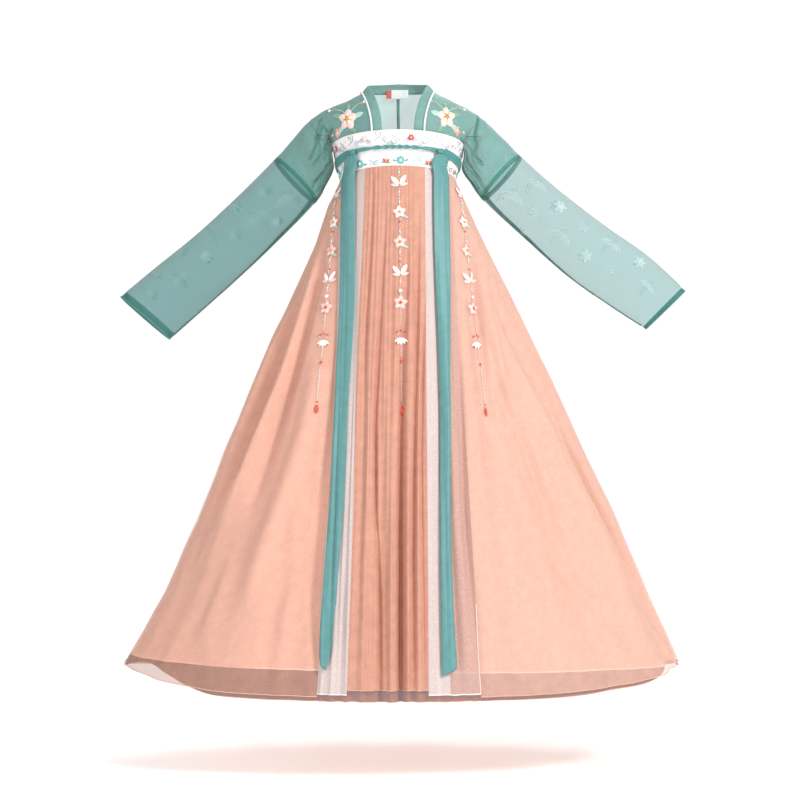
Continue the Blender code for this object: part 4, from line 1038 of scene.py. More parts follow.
made["centre"] = skirt_piece(
    "centre_panel_cloth", "pleated_chiffon", [PLEATED, HEM_ROLL], ["centre_panel"],
    steps(RIGHT_CENTRE, LEFT_CENTRE, PLEATS * PLEAT_COLUMNS), CENTRE_HEM, 0, lift=pleat_lift,
)

# ---------------------------------------------------------------- chest band and its embroidery

BAND_CLOTH, BAND_EDGE, BAND_EDGE_OUT, BAND_PUCKER = 0.0016, 0.0014, 0.0006, 0.0005
BAND_INSET_DEG, EMBROIDERY_BASE = 0.09, 0.0008
MOTIF_STEP_DEG, DARK_FROM_DEG = 14.04, 40


def band_surface(deg, share, out):
    """The band's outer face, with soft puckers."""
    return band_point(np.radians(deg), share, BAND_PUCKER * ripple(deg * 0.22, share * 2.2, 80.0, 2) + out)


for key, first in (("band_front", -BAND_END_DEG), ("band_back", BAND_END_DEG)):
    last = BAND_END_DEG if key == "band_front" else 360.0 - BAND_END_DEG
    degs, shares = grid_of(steps(first + BAND_INSET_DEG, last - BAND_INSET_DEG, 110), steps(0.0, 1.0, 22))
    shell = Shell(key + "_cloth", "embroidered_band", [BAND_WHITE, WHITE_TRIM], [key])
    shell.grid(band_surface(degs, shares, 0.0))
    for edge, lift in ((0, 0.0), (-1, BAND_EDGE_OUT)):
        tube(shell, band_surface(degs[:, edge], shares[:, edge], lift), BAND_EDGE, 1)
    made[key] = shell.build(thick=BAND_CLOTH)


def embroider_band():
    """Two rows of ordinary blossoms, sprigs and curls all round the band."""
    def surface(u, v, out):
        return band_surface(u, v, EMBROIDERY_BASE + out)

    work = Stitches("band_embroidery", "embroidered_band", surface, THREADS)
    for i, deg in enumerate(np.arange(-171.0, 180.0, MOTIF_STEP_DEG)):
        dark = "slate" if abs(deg) > DARK_FROM_DEG else None
        work.face = -1 if abs(deg) < BAND_END_DEG else 1  # the side that faces out
        hand, lean = (1 if i % 2 else -1), 0.15 * math.sin(i * 2.9)
        upper = work.spot(deg, 0.20 + 0.02 * math.sin(i * 1.7), lean)
        if i % 3 == 1:
            work.blossom(upper, 0, 0, 0.0078, "coral" if i % 2 else "blush", 6, "white", lean)
            for k in range(6):
                angle = lean + 0.52 + k * math.pi / 3
                work.bead(upper, 0.0088 * math.cos(angle), 0.0088 * math.sin(angle), 0.0009, "gold")
            for side in (-1, 1):
                angle = math.pi / 2 + side * 0.5
                work.curl(upper, side * 0.013, -0.004, angle, 0.0050, "lilac", hand=side, tail=0.005)
        else:
            work.curl(upper, 0, 0.002, 0.4 * hand, 0.0088, dark or "lilac", hand=hand, tail=0.008)
            work.curl(upper, hand * 0.009, -0.008, 2.6, 0.0058, "lilac", hand=-hand, tail=0.006)
            work.petal(upper, -hand * 0.008, 0.006, 1.2, 0.009, 0.0036, "blush")
            work.bead(upper, -hand * 0.010, -0.004, 0.0014, "coral")
        lower = work.spot(deg + 5.0, 0.86 + 0.01 * math.sin(i * 2.3), -lean)
        if i % 3 == 0:
            work.blossom(lower, 0, 0, 0.0100, "aqua", 8, "pearl", lean)
            work.blossom(lower, 0, 0, 0.0055, "pale", 6, "coral", lean + 0.3, 0.0024)
            for side in (-1, 1):
                work.petal(lower, side * 0.009, -0.002, 1.57 - side * 1.2, 0.010, 0.0040, "leaf")
        elif i % 3 == 1:
            work.curl(lower, 0, 0, 0.3 * hand, 0.0072, "lilac", hand=hand, tail=0.008)
            work.curl(lower, 0.011, 0, 2.9, 0.0058, dark or "aqua", hand=-hand, tail=0.005)
        else:
            for k, angle in enumerate((0.9, 1.57, 2.2)):
                work.petal(lower, 0, -0.006, angle, 0.012, 0.0052, "coral" if k != 1 else "pink")
            for angle in (0.2, 2.9):
                work.petal(lower, 0, -0.006, angle, 0.011, 0.0036, "leaf")
    return work.build()


made["band_embroidery"] = embroider_band()

# ---------------------------------------------------------------- tie, knots and streamers

CRINKLE, KNOT_WAIST = 0.10, 0.22  # of a radius
STREAMER_GATHER, STREAMER_CREASE, STREAMER_UNEVEN = 0.0006, 0.0006, 0.0007


def tie_share(deg):
    """How far down the band the tie runs: it arches up a little over the front."""
    return TIE_SHARE - TIE_ARCH * ease((TIE_ARCH_DEG - np.abs(deg)) / TIE_ARCH_RUN)


def tie_place(deg):
    """(middle, outward, up, reach, width, thickness, turn) of the chest tie for an array of degrees."""
    inside = np.minimum(deg - KNOT_DEG[0], KNOT_DEG[1] - deg)
    share = np.clip((deg - KNOT_DEG[0]) / (KNOT_DEG[1] - KNOT_DEG[0]), 0.0, 1.0)
    turn = math.pi * TIE_TWISTS * (share - np.sin(2 * np.pi * share) / (2 * np.pi))
    width, thick = mix2(TIE_FLAT, TIE_ROLLED, ease(inside / TIE_TURN_IN + 1.0))
    reach = np.hypot(width / 2 * np.sin(turn), thick / 2 * np.cos(turn))
    angle, down = np.radians(deg), tie_share(deg)
    up = unit(band_point(angle, down - 0.1) - band_point(angle, down + 0.1))
    outward = unit(np.cross(band_point(angle + 0.05, down) - band_point(angle - 0.05, down), up))
    lift = BAND_WALL / 2 + SEAM_GAP + TIE_CLEAR + reach
    return band_point(angle, down) + outward * lift[:, None], outward, up, reach, width, thick, turn


def make_tie():
    front = steps(*KNOT_DEG, 150)[:-1]
    behind = steps(KNOT_DEG[1], KNOT_DEG[0] + 360.0, 150)[:-1]
    deg = np.concatenate([front, np.where(behind > 180, behind - 360, behind)])
    middle, outward, up, _, width, thick, turn = (part[:, None] for part in tie_place(deg))
    t = np.arange(21) * 2 * np.pi / 20
    crinkle = 1 - CRINKLE * np.abs(np.sin(3 * t + deg[:, None] * 0.35))
    tall = width / 2 * np.sin(t) * mix(crinkle, 1.0, 0.5)
    deep = thick / 2 * np.cos(t) * crinkle
    a, b = tall * np.cos(turn) - deep * np.sin(turn), tall * np.sin(turn) + deep * np.cos(turn)
    ring = middle + up * a[..., None] + outward * b[..., None]
    shell = Shell("chest_tie_cloth", "tie", [SATIN_GREEN], ["chest_tie"])
    return shell.grid(np.concatenate([ring, ring[:1]])).build()


made["tie"] = make_tie()


def make_knot(name, deg):
    """A knot of the tie, wrapped once, and its centre."""
    middle, outward, _, reach, _, _, _ = tie_place(np.array([deg]))
    outward = outward[0]
    centre = middle[0] + outward * (reach[0] + KNOT_CLEAR + KNOT[1])
    across = np.cross(outward, (0.0, 0.0, 1.0))
    rise, turn = grid_of(steps(-1, 1, 28) * np.pi / 2 * 0.999, np.arange(40) * 2 * np.pi / 40)
    x, y, z = np.cos(rise) * np.cos(turn), np.cos(rise) * np.sin(turn), np.sin(rise)
    wrap = 1 - CRINKLE * np.abs(np.sin(2.5 * (z * 1.6 + x * 0.9) + 0.4)) ** 3
    wrap = wrap * (1 - KNOT_WAIST * bump(x / 0.6))
    points = centre + across * (x * KNOT[0] * wrap)[..., None] + outward * (y * KNOT[1] * wrap)[..., None]
    points = points + np.array((0.0, 0.0, 1.0)) * (z * KNOT[2] * wrap)[..., None]
    shell = Shell(name + "_cloth", "tie", [SATIN_GREEN], [name]).grid(points, closed=True)
    return shell.build(weld=CLOSING_WELD), centre


STREAMERS = (
    # wearer's side, end slant, rows of (share, x, seen width, tent)
    ("right", 0.012, (
        (0.00, -0.1080, 0.029, 0.0050),
        (0.10, -0.1090, 0.031, 0.0040),
        (0.26, -0.1106, 0.033, 0.0015),
        (0.45, -0.1225, 0.032, 0.0010),
        (0.64, -0.1320, 0.031, 0.0010),
        (0.82, -0.1465, 0.030, 0.0015),
        (0.895, -0.1540, 0.028, 0.0020),
        (0.922, -0.1575, 0.022, 0.0020),
        (0.938, -0.1595, 0.010, 0.0020),
    )),
    ("left", -0.018, (
        (0.00, 0.0930, 0.033, 0.0010),
        (0.10, 0.0945, 0.034, 0.0010),
        (0.20, 0.0975, 0.033, 0.0020),
        (0.32, 0.1000, 0.027, 0.0060),
        (0.45, 0.1018, 0.022, 0.0080),
        (0.64, 0.1018, 0.022, 0.0080),
        (0.82, 0.1045, 0.026, 0.0060),
        (0.945, 0.1095, 0.032, 0.0020),
    )),
)


def make_streamer(name, knot, knot_deg, slant, table):
    """A streamer from its knot down the band, gathered at first, and on down the skirt."""
    table = np.array(table)
    across = steps(-1.0, 1.0, 14)
    rows = []
    knot_lift = float(np.linalg.norm(knot - band_point(np.radians(knot_deg), tie_share(knot_deg))))
    for share in steps(STREAMER_START, 0.90, 16):
        blend = ease((share - STREAMER_START) / (1 - STREAMER_START))
        x = mix(knot[0], table[0, 1], blend)
        width = mix(2 * KNOT[0], table[0, 2], ease((share - STREAMER_START) / 0.12))
        half_width = mix(BAND_TOP[0], BAND_LOW[0], share)
        angle = np.arcsin((x + across * width / 2) / (half_width + STREAMER_LIFT))
        lift = mix(knot_lift, STREAMER_LIFT + table[0, 3] * (1 - across**2), blend)
        rows.append(band_point(angle, share, lift + STREAMER_GATHER * np.cos(across * 9) * (1 - blend)))
    share = steps(0.012, table[-1, 0], 170)
    x, width, tent = smooth_row(table, np.interp(share, table[:, 0], np.arange(len(table))))[:, 1:].T
    end = ease((share - share[-1] + 0.03) / 0.03)
    at = share[:, None] + slant * across / 2 / -HEM_FRONT_Z * end[:, None]
    deg = skirt_deg(x[:, None] + across * width[:, None] / 2, at)
    crease = -STREAMER_CREASE * bump((across + 0.15 * np.sin(at * 9)) / 0.22)
    crease = crease + STREAMER_UNEVEN * ripple(across * 1.2, at * 9, 90.0)
    rows += list(skirt_surface(deg, at, 0, STREAMER_LIFT + tent[:, None] * (1 - across**2) + crease))
    shell = Shell(name + "_cloth", "streamer", [STREAMER_GREEN], [name]).grid(np.array(rows))
    return shell.build(thick=STREAMER_WALL)


knots = [make_knot("knot_" + side, deg) for side, deg in zip(("right", "left"), KNOT_DEG)]
for (side, slant, table), deg, (knot, centre) in zip(STREAMERS, KNOT_DEG, knots):
    made["knot_" + side] = knot
    made["streamer_" + side] = make_streamer("streamer_" + side, centre, deg, slant, table)

# ---------------------------------------------------------------- shirt

BODY_WELD, CUFF_OUT, CUFF_ROLL = 3e-4, 0.0003, 0.0015


def make_body(side):
    """One half of the shirt, with its upper arm and the part that hangs inside the skirt."""
    name = f"shirt_body_{SIDES[side]}"
    cloths, nodes = [BODY_ORGANZA_LIT_SHADED[side], ORGANZA_BACK_PAINTED_LIGHT], [name + "_front", name + "_back"]
    shell = Shell(name + "_cloth", "organza", cloths, nodes)
    for face, first in ((-1, 0.0), (1, -1.0)):
        along = np.unique([*steps(first, JOIN, 90), *steps(first, ARMPIT, 12)])
        rows, shares = grid_of(along, steps(0.0, 1.0, 44))
        shell.grid(shirt_surface(side, rows, shares, face), kind=(face + 1) // 2)
        column = rows[:, 0][rows[:, 0] <= ARMPIT]
        low = low_point(SECTIONS[side], column, face)
        angle = np.arctan2(low[:, 0] / SHIRT_TOP[0], -low[:, 1] / SHIRT_TOP[1])[:, None]
        down = steps(-SHIRT_ABOVE_BAND / BAND_HEIGHT, 1.0, 10)
        trunk = shirt_oval_point(angle, down[None])
        fall = steps(0.0, 1.0, 12)[1:][None, :, None]
        hem = trunk[:, -1:] * np.array((1.0, 1.0, 0.0)) + np.array((0.0, 0.0, SHIRT_HEM_Z))
        trunk = np.concatenate([trunk, mix(trunk[:, -1:], hem, fall)], axis=1)
        shell.grid(mirrored(trunk, side), kind=(face + 1) // 2)
    return shell.build(weld=BODY_WELD)


def tube_grid(side, first, last, rows, out=0.0):
    """Both faces of a sleeve between two rows, as rings."""
    row, share = grid_of(steps(first, last, rows), steps(0.0, 1.0, 40))
    front, back = (shirt_surface(side, row, share, face, out) for face in (-1, 1))
    return np.concatenate([front, back[:, -2:0:-1]], axis=1)


def make_sleeve(side):
    """A sleeve from the upper arm's seam, and its cuff strip with a rolled edge."""
    name, cuff = f"sleeve_{SIDES[side]}", f"cuff_{SIDES[side]}"
    shell = Shell(name + "_cloth", "organza", [SLEEVE_ORGANZA_LIT_SHADED[side]], [name + "_front", name + "_back"])
    shell.grid(tube_grid(side, JOIN, CUFF - CUFF_SHARE[side], 110), closed=True)
    sleeve = shell.build()
    rings = tube_grid(side, CUFF - CUFF_SHARE[side], CUFF, 8, CUFF_OUT)
    shell = Shell(cuff + "_cloth", "cuff", [CUFF_GREEN, GREEN_EDGE], [cuff]).grid(rings, closed=True)
    loop = np.concatenate([rings[-1], rings[-1][:1]])
    tube(shell, loop, CUFF_ROLL, 1)
    return sleeve, shell.build()


for side in (1, -1):
    made["body", side] = make_body(side)
    made["sleeve", side], made["cuff", side] = make_sleeve(side)

# ---------------------------------------------------------------- neckband, piping and label

COLLAR_STATIONS = np.unique([*steps(0.0, 1.0, 24), *steps(1.0, 3.0, 76)])
PIPING_STATIONS = np.unique([*steps(0.86, 1.0, 8), *steps(1.0, 3.0, 90)])
COLLAR_WALL, COLLAR_CROWN, PIPING_CLEAR, PIPING_FINER = 0.0014, 0.0013, 0.0010, 0.97
LABEL_IN, LABEL_UNEVEN, LABEL_WALL = 0.0046, 0.0003, 0.0006  # inside the neck's oval


def outward_of(path, i):
    """(outward, along) at one station of the neckband's path."""
    point, lean, away = path[i]
    along = unit(path[min(i + 1, len(path) - 1)][0] - path[max(i - 1, 0)][0])
    outward = unit(np.cross(along, away - lean))
    return -outward if outward @ np.array((point[0], point[1], 0.05)) < 0 else outward, along


def make_collar():
    path = collar_path(COLLAR_STATIONS)
    t = steps(0.0, 1.0, 10)[:, None]
    rows = []
    for i, (point, lean, _) in enumerate(path):
        outward, _ = outward_of(path, i)
        crown = outward * COLLAR_CROWN * np.sin(np.pi * t)
        rows.append(point + lean * (COLLAR_START + COLLAR_WIDTH * t) + crown)
    collar = Shell("collar_cloth", "neckband", [COLLAR_GREEN], ["collar"]).grid(np.array(rows))
    path = collar_path(PIPING_STATIONS)
    turns = np.arange(11)[:, None] * 2 * np.pi / 10
    rows = []
    for i, (point, lean, away) in enumerate(path):
        outward, along = outward_of(path, i)
        open_side = min(np.linalg.norm(np.cross(outward, lean)), np.linalg.norm(np.cross(outward, away)))
        centre = point + outward * ((PIPING_CLEAR + SEAM_GAP + PIPING_RADIUS) / open_side)
        across = unit(np.cross(along, outward))
        ring = outward * np.cos(turns) + across * np.sin(turns)
        rows.append(centre + ring * PIPING_RADIUS * PIPING_FINER)
    piping = Shell("collar_piping_cloth", "piping", [WHITE_TRIM], ["collar_piping"]).grid(np.array(rows))
    return collar.build(thick=COLLAR_WALL), piping.build()


made["collar"], made["piping"] = make_collar()

for node, slot, cover, across, tall in (
    ("neck_label", "label", BLANK, (-0.0156, 0.0235), (-0.0070, 0.0135)),
    ("label_tab", "tab", CORAL_TAB, (-0.0270, -0.0162), (-0.0060, 0.0120)),
):
    x, z = grid_of(steps(*across, 16), steps(*tall, 14))
    y = NECK_BACK[0] * np.sqrt(1 - (x / NECK_HALF_WIDTH) ** 2) - LABEL_IN
    y = y + LABEL_UNEVEN * ripple(x * 60, z * 60, 30.0, 1)
    shell = Shell(node + "_cloth", slot, [cover], [node]).grid(points_of(x, y, z))
    made[slot] = shell.build(thick=LABEL_WALL)

# ---------------------------------------------------------------- seams, painted crease shade and woven motifs of the shirt


def shirt_stitches(name, side, face, finishes, base):
    """Stitches on one face of one half of the shirt, in rows and arch shares."""
    def surface(u, v, out):
        return shirt_surface(side, u, np.clip(v, 0.0, 1.0), face, base + out)

    def rough(u, v, out):
        return shirt_surface(side, u, np.clip(v, 0.0, 1.0), face, out, fine=False)

    return Stitches(name, "organza", surface, finishes, rough, face, (1.2, 0.15))


def seam_or_shade_strip(work, path, half, kind, count=60):
    """A strip along a path of (row, share): doubled cloth at a seam, or painted crease shade along a fold."""
    path = np.array(path, float)
    at = smooth_row(path, np.linspace(0, len(path) - 1, count))
    along_u, along_v = work.slopes(at[:, 0], at[:, 1])
    step = np.gradient(at, axis=0)
    along = unit(along_u * step[:, :1] + along_v * step[:, 1:])
    across = unit(np.cross(unit(np.cross(along_u, along_v)), along))
    uu, uv, vv = (along_u**2).sum(-1), (along_u * along_v).sum(-1), (along_v**2).sum(-1)
    au, av = (along_u * across).sum(-1), (along_v * across).sum(-1)
    size = uu * vv - uv * uv
    du, dv = (au * vv - av * uv) / size, (av * uu - au * uv) / size
    wide = np.array((-1.0, -0.5, 0.0, 0.5, 1.0)) * half
    rows = at[:, :1] + du[:, None] * wide, at[:, 1:] + dv[:, None] * wide
    work.todo.append((*rows, SEAM_HEIGHT * (1 - (wide / half) ** 2), kind, False))


SEAM_HEIGHT = 0.0003
SEAM_AND_SHADE_STRIPS = (
    # half width, kind, count, (row, share) along it
    (0.0050, "seam", 60, ((7.0, 0.0), (7.0, 0.35), (7.0, 0.7), (7.0, 1.0))),
    (0.0032, "seam", 60, ((7.0, 0.17), (7.7, 0.12), (8.6, 0.075), (9.6, 0.05))),
    (0.0020, "seam", 60, ((7.0, 0.12), (7.7, 0.08), (8.6, 0.05), (9.6, 0.03))),
    (0.0013, "seam", 60, ((3.2, 0.982), (5.0, 0.982), (7.0, 0.982), (9.0, 0.982), (10.8, 0.982))),
    # The fold rows lay painted crease shade along the gathers by the armpit.
    (0.0017, "fold", 30, ((3.3, 0.04), (4.3, 0.10), (5.4, 0.13), (6.6, 0.15))),
    (0.0017, "fold", 30, ((3.3, 0.10), (4.2, 0.18), (5.2, 0.24), (6.2, 0.26))),
    (0.0017, "fold", 30, ((3.2, 0.17), (4.0, 0.29), (4.8, 0.38), (5.6, 0.43))),
    (0.0017, "fold", 30, ((3.1, 0.26), (3.7, 0.42), (4.2, 0.56))),
    (0.0017, "fold", 30, ((4.2, 0.05), (5.2, 0.07), (6.4, 0.10), (7.0, 0.12))),
    (0.0030, "seam", 60, ((9.5, 0.05), (10.2, 0.05), (10.8, 0.05))),
    (0.0034, "seam", 60, ((3.4, 0.07), (4.2, 0.07), (5.6, 0.07), (7.0, 0.07))),
)
BACK_SEAM = ((-1.0, 0.02), (-1.0, 0.4), (-1.0, 0.7), (-1.0, 0.99))
FOLD_FROM, FOLD_WIDTH = -0.004, 0.0009  # only deeper creases get a strip of painted crease shade, partly the look of folded cloth, this wide for each pixel
WOVEN = {
    # pixels of the 800 x 800 picture, kind, size in metres, turn
    1: (
        (512, 196, "wave", 0.030, -0.5), (538, 184, "wave", 0.026, -0.6), (536, 214, "curl", 0.016, 0.4),
        (560, 206, "floret", 0.019, 0.2), (562, 236, "wave", 0.028, -0.7), (586, 228, "curl", 0.017, 1.0),
        (586, 256, "floret", 0.018, 0.9), (612, 244, "wave", 0.026, -0.6), (612, 272, "curl", 0.015, 0.2),
        (640, 262, "floret", 0.017, 0.4), (648, 286, "wave", 0.022, -0.8), (524, 232, "floret", 0.014, 0.0),
    ),
    -1: (
        (286, 198, "wave", 0.028, 0.5), (262, 192, "curl", 0.016, 0.9), (256, 218, "wave", 0.030, 0.6),
        (234, 206, "floret", 0.018, 0.4), (234, 236, "curl", 0.017, 0.2), (208, 230, "wave", 0.028, 0.7),
        (206, 256, "floret", 0.018, 0.8), (182, 252, "curl", 0.016, 0.5), (180, 278, "wave", 0.026, 0.8),
        (156, 272, "floret", 0.017, 0.1), (152, 294, "curl", 0.014, 0.6), (276, 222, "floret", 0.013, 0.0),
    ),
}


def weave_motif(work, spot, what, size):
    """One woven figure: three waves, two curls or a small flower."""
    if what == "wave":
        for k in range(3):
            radius = size * (0.42 + 0.28 * k)
            t = steps(0.25, math.pi - 0.25, 16)
            path = np.stack([radius * np.cos(t), radius * np.sin(t) * 0.62 - size * 0.4], axis=-1)
            work.ribbon(spot, path, 0.0012, 0.0003, "woven", 0.0001)
    elif what == "curl":
        work.curl(spot, 0, 0, 0.4, size * 0.55, "woven", half=0.0012, tail=size * 0.6)
        work.curl(spot, 0, -size * 0.25, 3.4, size * 0.42, "woven", half=0.0011, hand=-1, tail=size * 0.4)
    else:
        for k in range(6):
            angle = 0.5 + k * math.pi / 3
            work.petal(spot, 0, 0, angle, size * 0.85, size * 0.42, "woven", 0.0003, base=0.0001)
        work.bead(spot, 0, 0, size * 0.13, "woven", base=-0.0010)


def fold_path(work, path):
    """A crease's pixels as rows and shares of the shirt's front."""
    found = []
    for px, py in path:
        guess = float(np.interp(abs(px - 398), (36, 54, 72, 84, 121, 285), (0, 1, 2, 3, 7, 11)))
        u, v = work.find(px, py, guess, 0.6)
        found.append((min(max(u, 0.1), 10.5), min(max(v, 0.05), 0.95)))
    return found


def dress_shirt(side):
    """Seams, strips of painted crease shade along the folds, and woven figures; the back has the front's,
    with the fold strips a little shifted.
    """
    finishes = {"woven": WOVEN_RELIEF_LIT_SHADED[side], "seam": SEAM, "fold": FOLD_SHADE}
    front, back = (
        shirt_stitches(f"shirt_{SIDES[side]}_{word}_seams", side, face, finishes, 0.0007)
        for face, word in ((-1, "front"), (1, "back"))
    )
    motifs = [(front.find(px, py, 8.5, 0.5), what, size, turn) for px, py, what, size, turn in WOVEN[side]]
    folds = [(half, fold_path(front, path)) for half, depth, path in SHIRT_CREASES[side] if depth < FOLD_FROM]
    for work in (front, back):
        for (u, v), what, size, turn in motifs:
            if JOIN + 0.2 < u < CUFF - 0.3 and 0.05 < v < 0.95:
                weave_motif(work, work.spot(u, v, turn), what, size)
        for half, kind, count, path in SEAM_AND_SHADE_STRIPS:
            seam_or_shade_strip(work, path, half, kind, count)
        for half, path in folds:
            if work is back:
                path = [(u + 0.25, v * 0.92) for u, v in path]
            seam_or_shade_strip(work, path, FOLD_WIDTH * half, "fold")
    if side > 0:
        seam_or_shade_strip(back, BACK_SEAM, 0.0034, "seam")
    return [front.build(), back.build()]


for side in (1, -1):
    made["seams", side] = dress_shirt(side)

# ---------------------------------------------------------------- shoulder blossoms

SPRAY_SCALE, SPRAY_TURN = 1.4, 0.31
SPRAY_TENDRILS = (
    # x, y, angle, bend, length
    (0.004, 0.006, 1.15, -0.6, 0.036),
    (-0.004, 0.010, 2.0, 0.5, 0.032),
    (0.006, -0.012, -0.7, 0.5, 0.038),
    (-0.008, -0.010, -2.2, -0.4, 0.036),
)
SPRAY_LEAVES = (
    # x, y, angle, length, width, thread
    (0.010, 0.004, 0.35, 0.021, 0.0090, "leaf"),
    (-0.010, 0.003, 2.8, 0.020, 0.0085, "pale"),
    (0.006, -0.012, -0.45, 0.022, 0.0090, "pale"),
    (-0.005, -0.012, -2.6, 0.020, 0.0085, "leaf"),
    (0.000, 0.012, 1.6, 0.017, 0.0070, "leaf"),
)


def shoulder_spray(side, px, py):
    """One five-petalled blossom with leaves, tendrils and a bud, at a pixel of the picture."""
    work = shirt_stitches(f"shoulder_spray_{SIDES[side]}", side, -1, THREADS, 0.0010)
    place, matrix = work.spot(*work.find(px, py, 0.8, 0.6))
    spot = place, matrix * SPRAY_SCALE
    for x, y, angle, bend, length in SPRAY_TENDRILS:
        path = bent_path(x, y, angle, length, bend, steps(0.0, 1.0, 8)) * (side, 1)
        work.ribbon(spot, path, 0.0007, 0.0006, "pale")
        for k, size, kind in ((8, 0.0026, "pearl"), (6, 0.0017, "gold"), (5, 0.0014, "gold")):
            work.bead(spot, *path[k], size, kind)
    for x, y, angle, length, width, kind in SPRAY_LEAVES:
        work.petal(spot, x * side, y, angle if side > 0 else math.pi - angle, length, width, kind, 0.0016)
    work.blossom(spot, 0.0, 0.0, 0.0180, "blush", 5, "gold", SPRAY_TURN, 0.0034)
    for k in range(5):
        angle = SPRAY_TURN + 2 * math.pi * k / 5
        work.petal(spot, 0, 0, angle, 0.0100, 0.0046, "white", 0.0040, base=0.0012)
        work.petal(spot, 0, 0, angle + 0.63, 0.0085, 0.0030, "pink", 0.0030, base=0.0012)
        x, y = 0.0042 * math.cos(angle + 0.6), 0.0042 * math.sin(angle + 0.6)
        work.bead(spot, x, y, 0.0011, "gold", base=0.0038)
    work.blossom(spot, 0.021 * side, -0.020, 0.0085, "pink", 5, "pearl", 0.9, 0.0020)
    return work.build()


for side, px, py in ((1, 446, 117), (-1, 348, 119)):
    made["spray", side] = shoulder_spray(side, px, py)

# ---------------------------------------------------------------- beaded strings on the skirt

STRING_PLACES, STRING_BASE = 24, 0.0012
LEAF_PAIR = (
    # y, splay, length, width, thread, height
    (-0.007, 0.62, 0.0275, 0.0124, "pink", 0.0008),
    (-0.006, 0.62, 0.0255, 0.0104, "white", 0.0018),
    (-0.008, 1.35, 0.0185, 0.0078, "blush", 0.0014),
)


def no_lift(deg, share):
    return 0.0


def beaded_string(name, slot, top, low, lift, first):
    """A line of sewn blossoms, leaf pairs and beads from one pixel of the picture to another."""
    def surface(u, v, out):
        return skirt_surface(u, v, 0, lift(u, v) + STRING_BASE + out)

    def rough(u, v, out):
        return plain_skirt(u, np.clip(v, 0.0, 1.0), 0, out)

    work = Stitches(name, slot, surface, THREADS, rough, reach=(6.0, 0.1))
    x = CAMERA[0] + (top[0] - MIDDLE) * PIXEL
    u, v = float(skirt_deg(min(max(x, -0.125), 0.125), 0.05)), 0.05
    places = []
    for t in steps(0.0, 1.0, STRING_PLACES)[first:]:
        u, v = work.find(mix(top[0], low[0], t), mix(top[1], low[1], t), u, v)
        places.append((u, v))
    for i, (u, v) in enumerate(places, first):
        spot = work.spot(u, v, 0.12 * math.sin(i * 2.1) if i < 12 else 0.0)
        if i in (1, 10):
            for s in (-1, 1):
                for y, splay, length, width, kind, height in LEAF_PAIR:
                    work.petal(spot, s * 0.001, y, math.pi / 2 - s * splay, length, width, kind, height)
            work.bead(spot, 0, -0.006, 0.0022, "gold")
        elif i in (4, 7):
            work.blossom(spot, 0, 0, 0.0160, "pink", 5, "gold", 0.4 * i, 0.0008)
            work.blossom(spot, 0, 0, 0.0140, "white" if i == 4 else "blush", 5, "gold", 0.4 * i)
            work.petal(spot, 0.004, -0.008, -0.5, 0.016, 0.0062, "pale")
        elif i == 12:
            work.bead(spot, 0, 0.002, 0.0048, "pearl")
            work.bead(spot, 0, -0.006, 0.0018, "silver")
        elif i == 13:
            work.blossom(spot, 0, -0.002, 0.0172, "pink", 5, "coral", 0.2, 0.0008)
            work.blossom(spot, 0, -0.002, 0.0150, "blush", 5, "coral", 0.2)
            for angle in np.arange(5) * 1.257:
                work.bead(spot, 0.0062 * math.cos(angle), 0.0062 * math.sin(angle) - 0.002, 0.0014, "coral")
        elif i == 16:
            for x in (-0.009, 0.0, 0.009):
                work.bead(spot, x, 0.002 - abs(x) / 3, 0.0024, "coral")
            for x in (-0.008, 0.008):
                work.bead(spot, x, -0.006, 0.0017, "silver")
        elif i == 17:
            for angle in (-2.6, -2.1, -1.57, -1.0, -0.5):
                work.petal(spot, 0, 0.008, angle, 0.0165, 0.0060, "white")
            for x in (-0.010, 0.010):
                work.bead(spot, x, -0.004, 0.0020, "coral")
        elif i == 19:
            work.bead(spot, 0, 0.0, 0.0028, "coral", long=1.4)
        elif i < 12:
            for y in (0.008, 0.004, -0.004, -0.008):
                work.bead(spot, 0.0008 * math.sin(y * 900 + i), y, 0.0016, "silver")
            work.bead(spot, 0, 0, 0.0023, "coral" if i % 4 == 1 else "pearl")
        elif i < STRING_PLACES:
            for k in range(6):
                work.bead(spot, 0.0008 * (-1) ** k, 0.010 - 0.0038 * k, 0.0016, "silver")
    spot = work.spot(*places[-1])
    work.bead(spot, 0, 0.016, 0.0022, "coral")
    work.petal(spot, 0, 0.010, -math.pi / 2, 0.020, 0.0085, "coral", 0.0042)
    return work.build()


for side, slot, top, low, lift, first in (
    ("centre", "pleated_chiffon", (399, 172), (402, 411), pleat_lift, 0),
    ("right", "peach_tulle", (337.4, 185), (318, 409), no_lift, 1),
    ("left", "peach_tulle", (458.8, 184), (486, 412), no_lift, 1),
):
    made["string_" + side] = beaded_string("beaded_string_" + side, slot, top, low, lift, first)

# ---------------------------------------------------------------- sheets of cloth

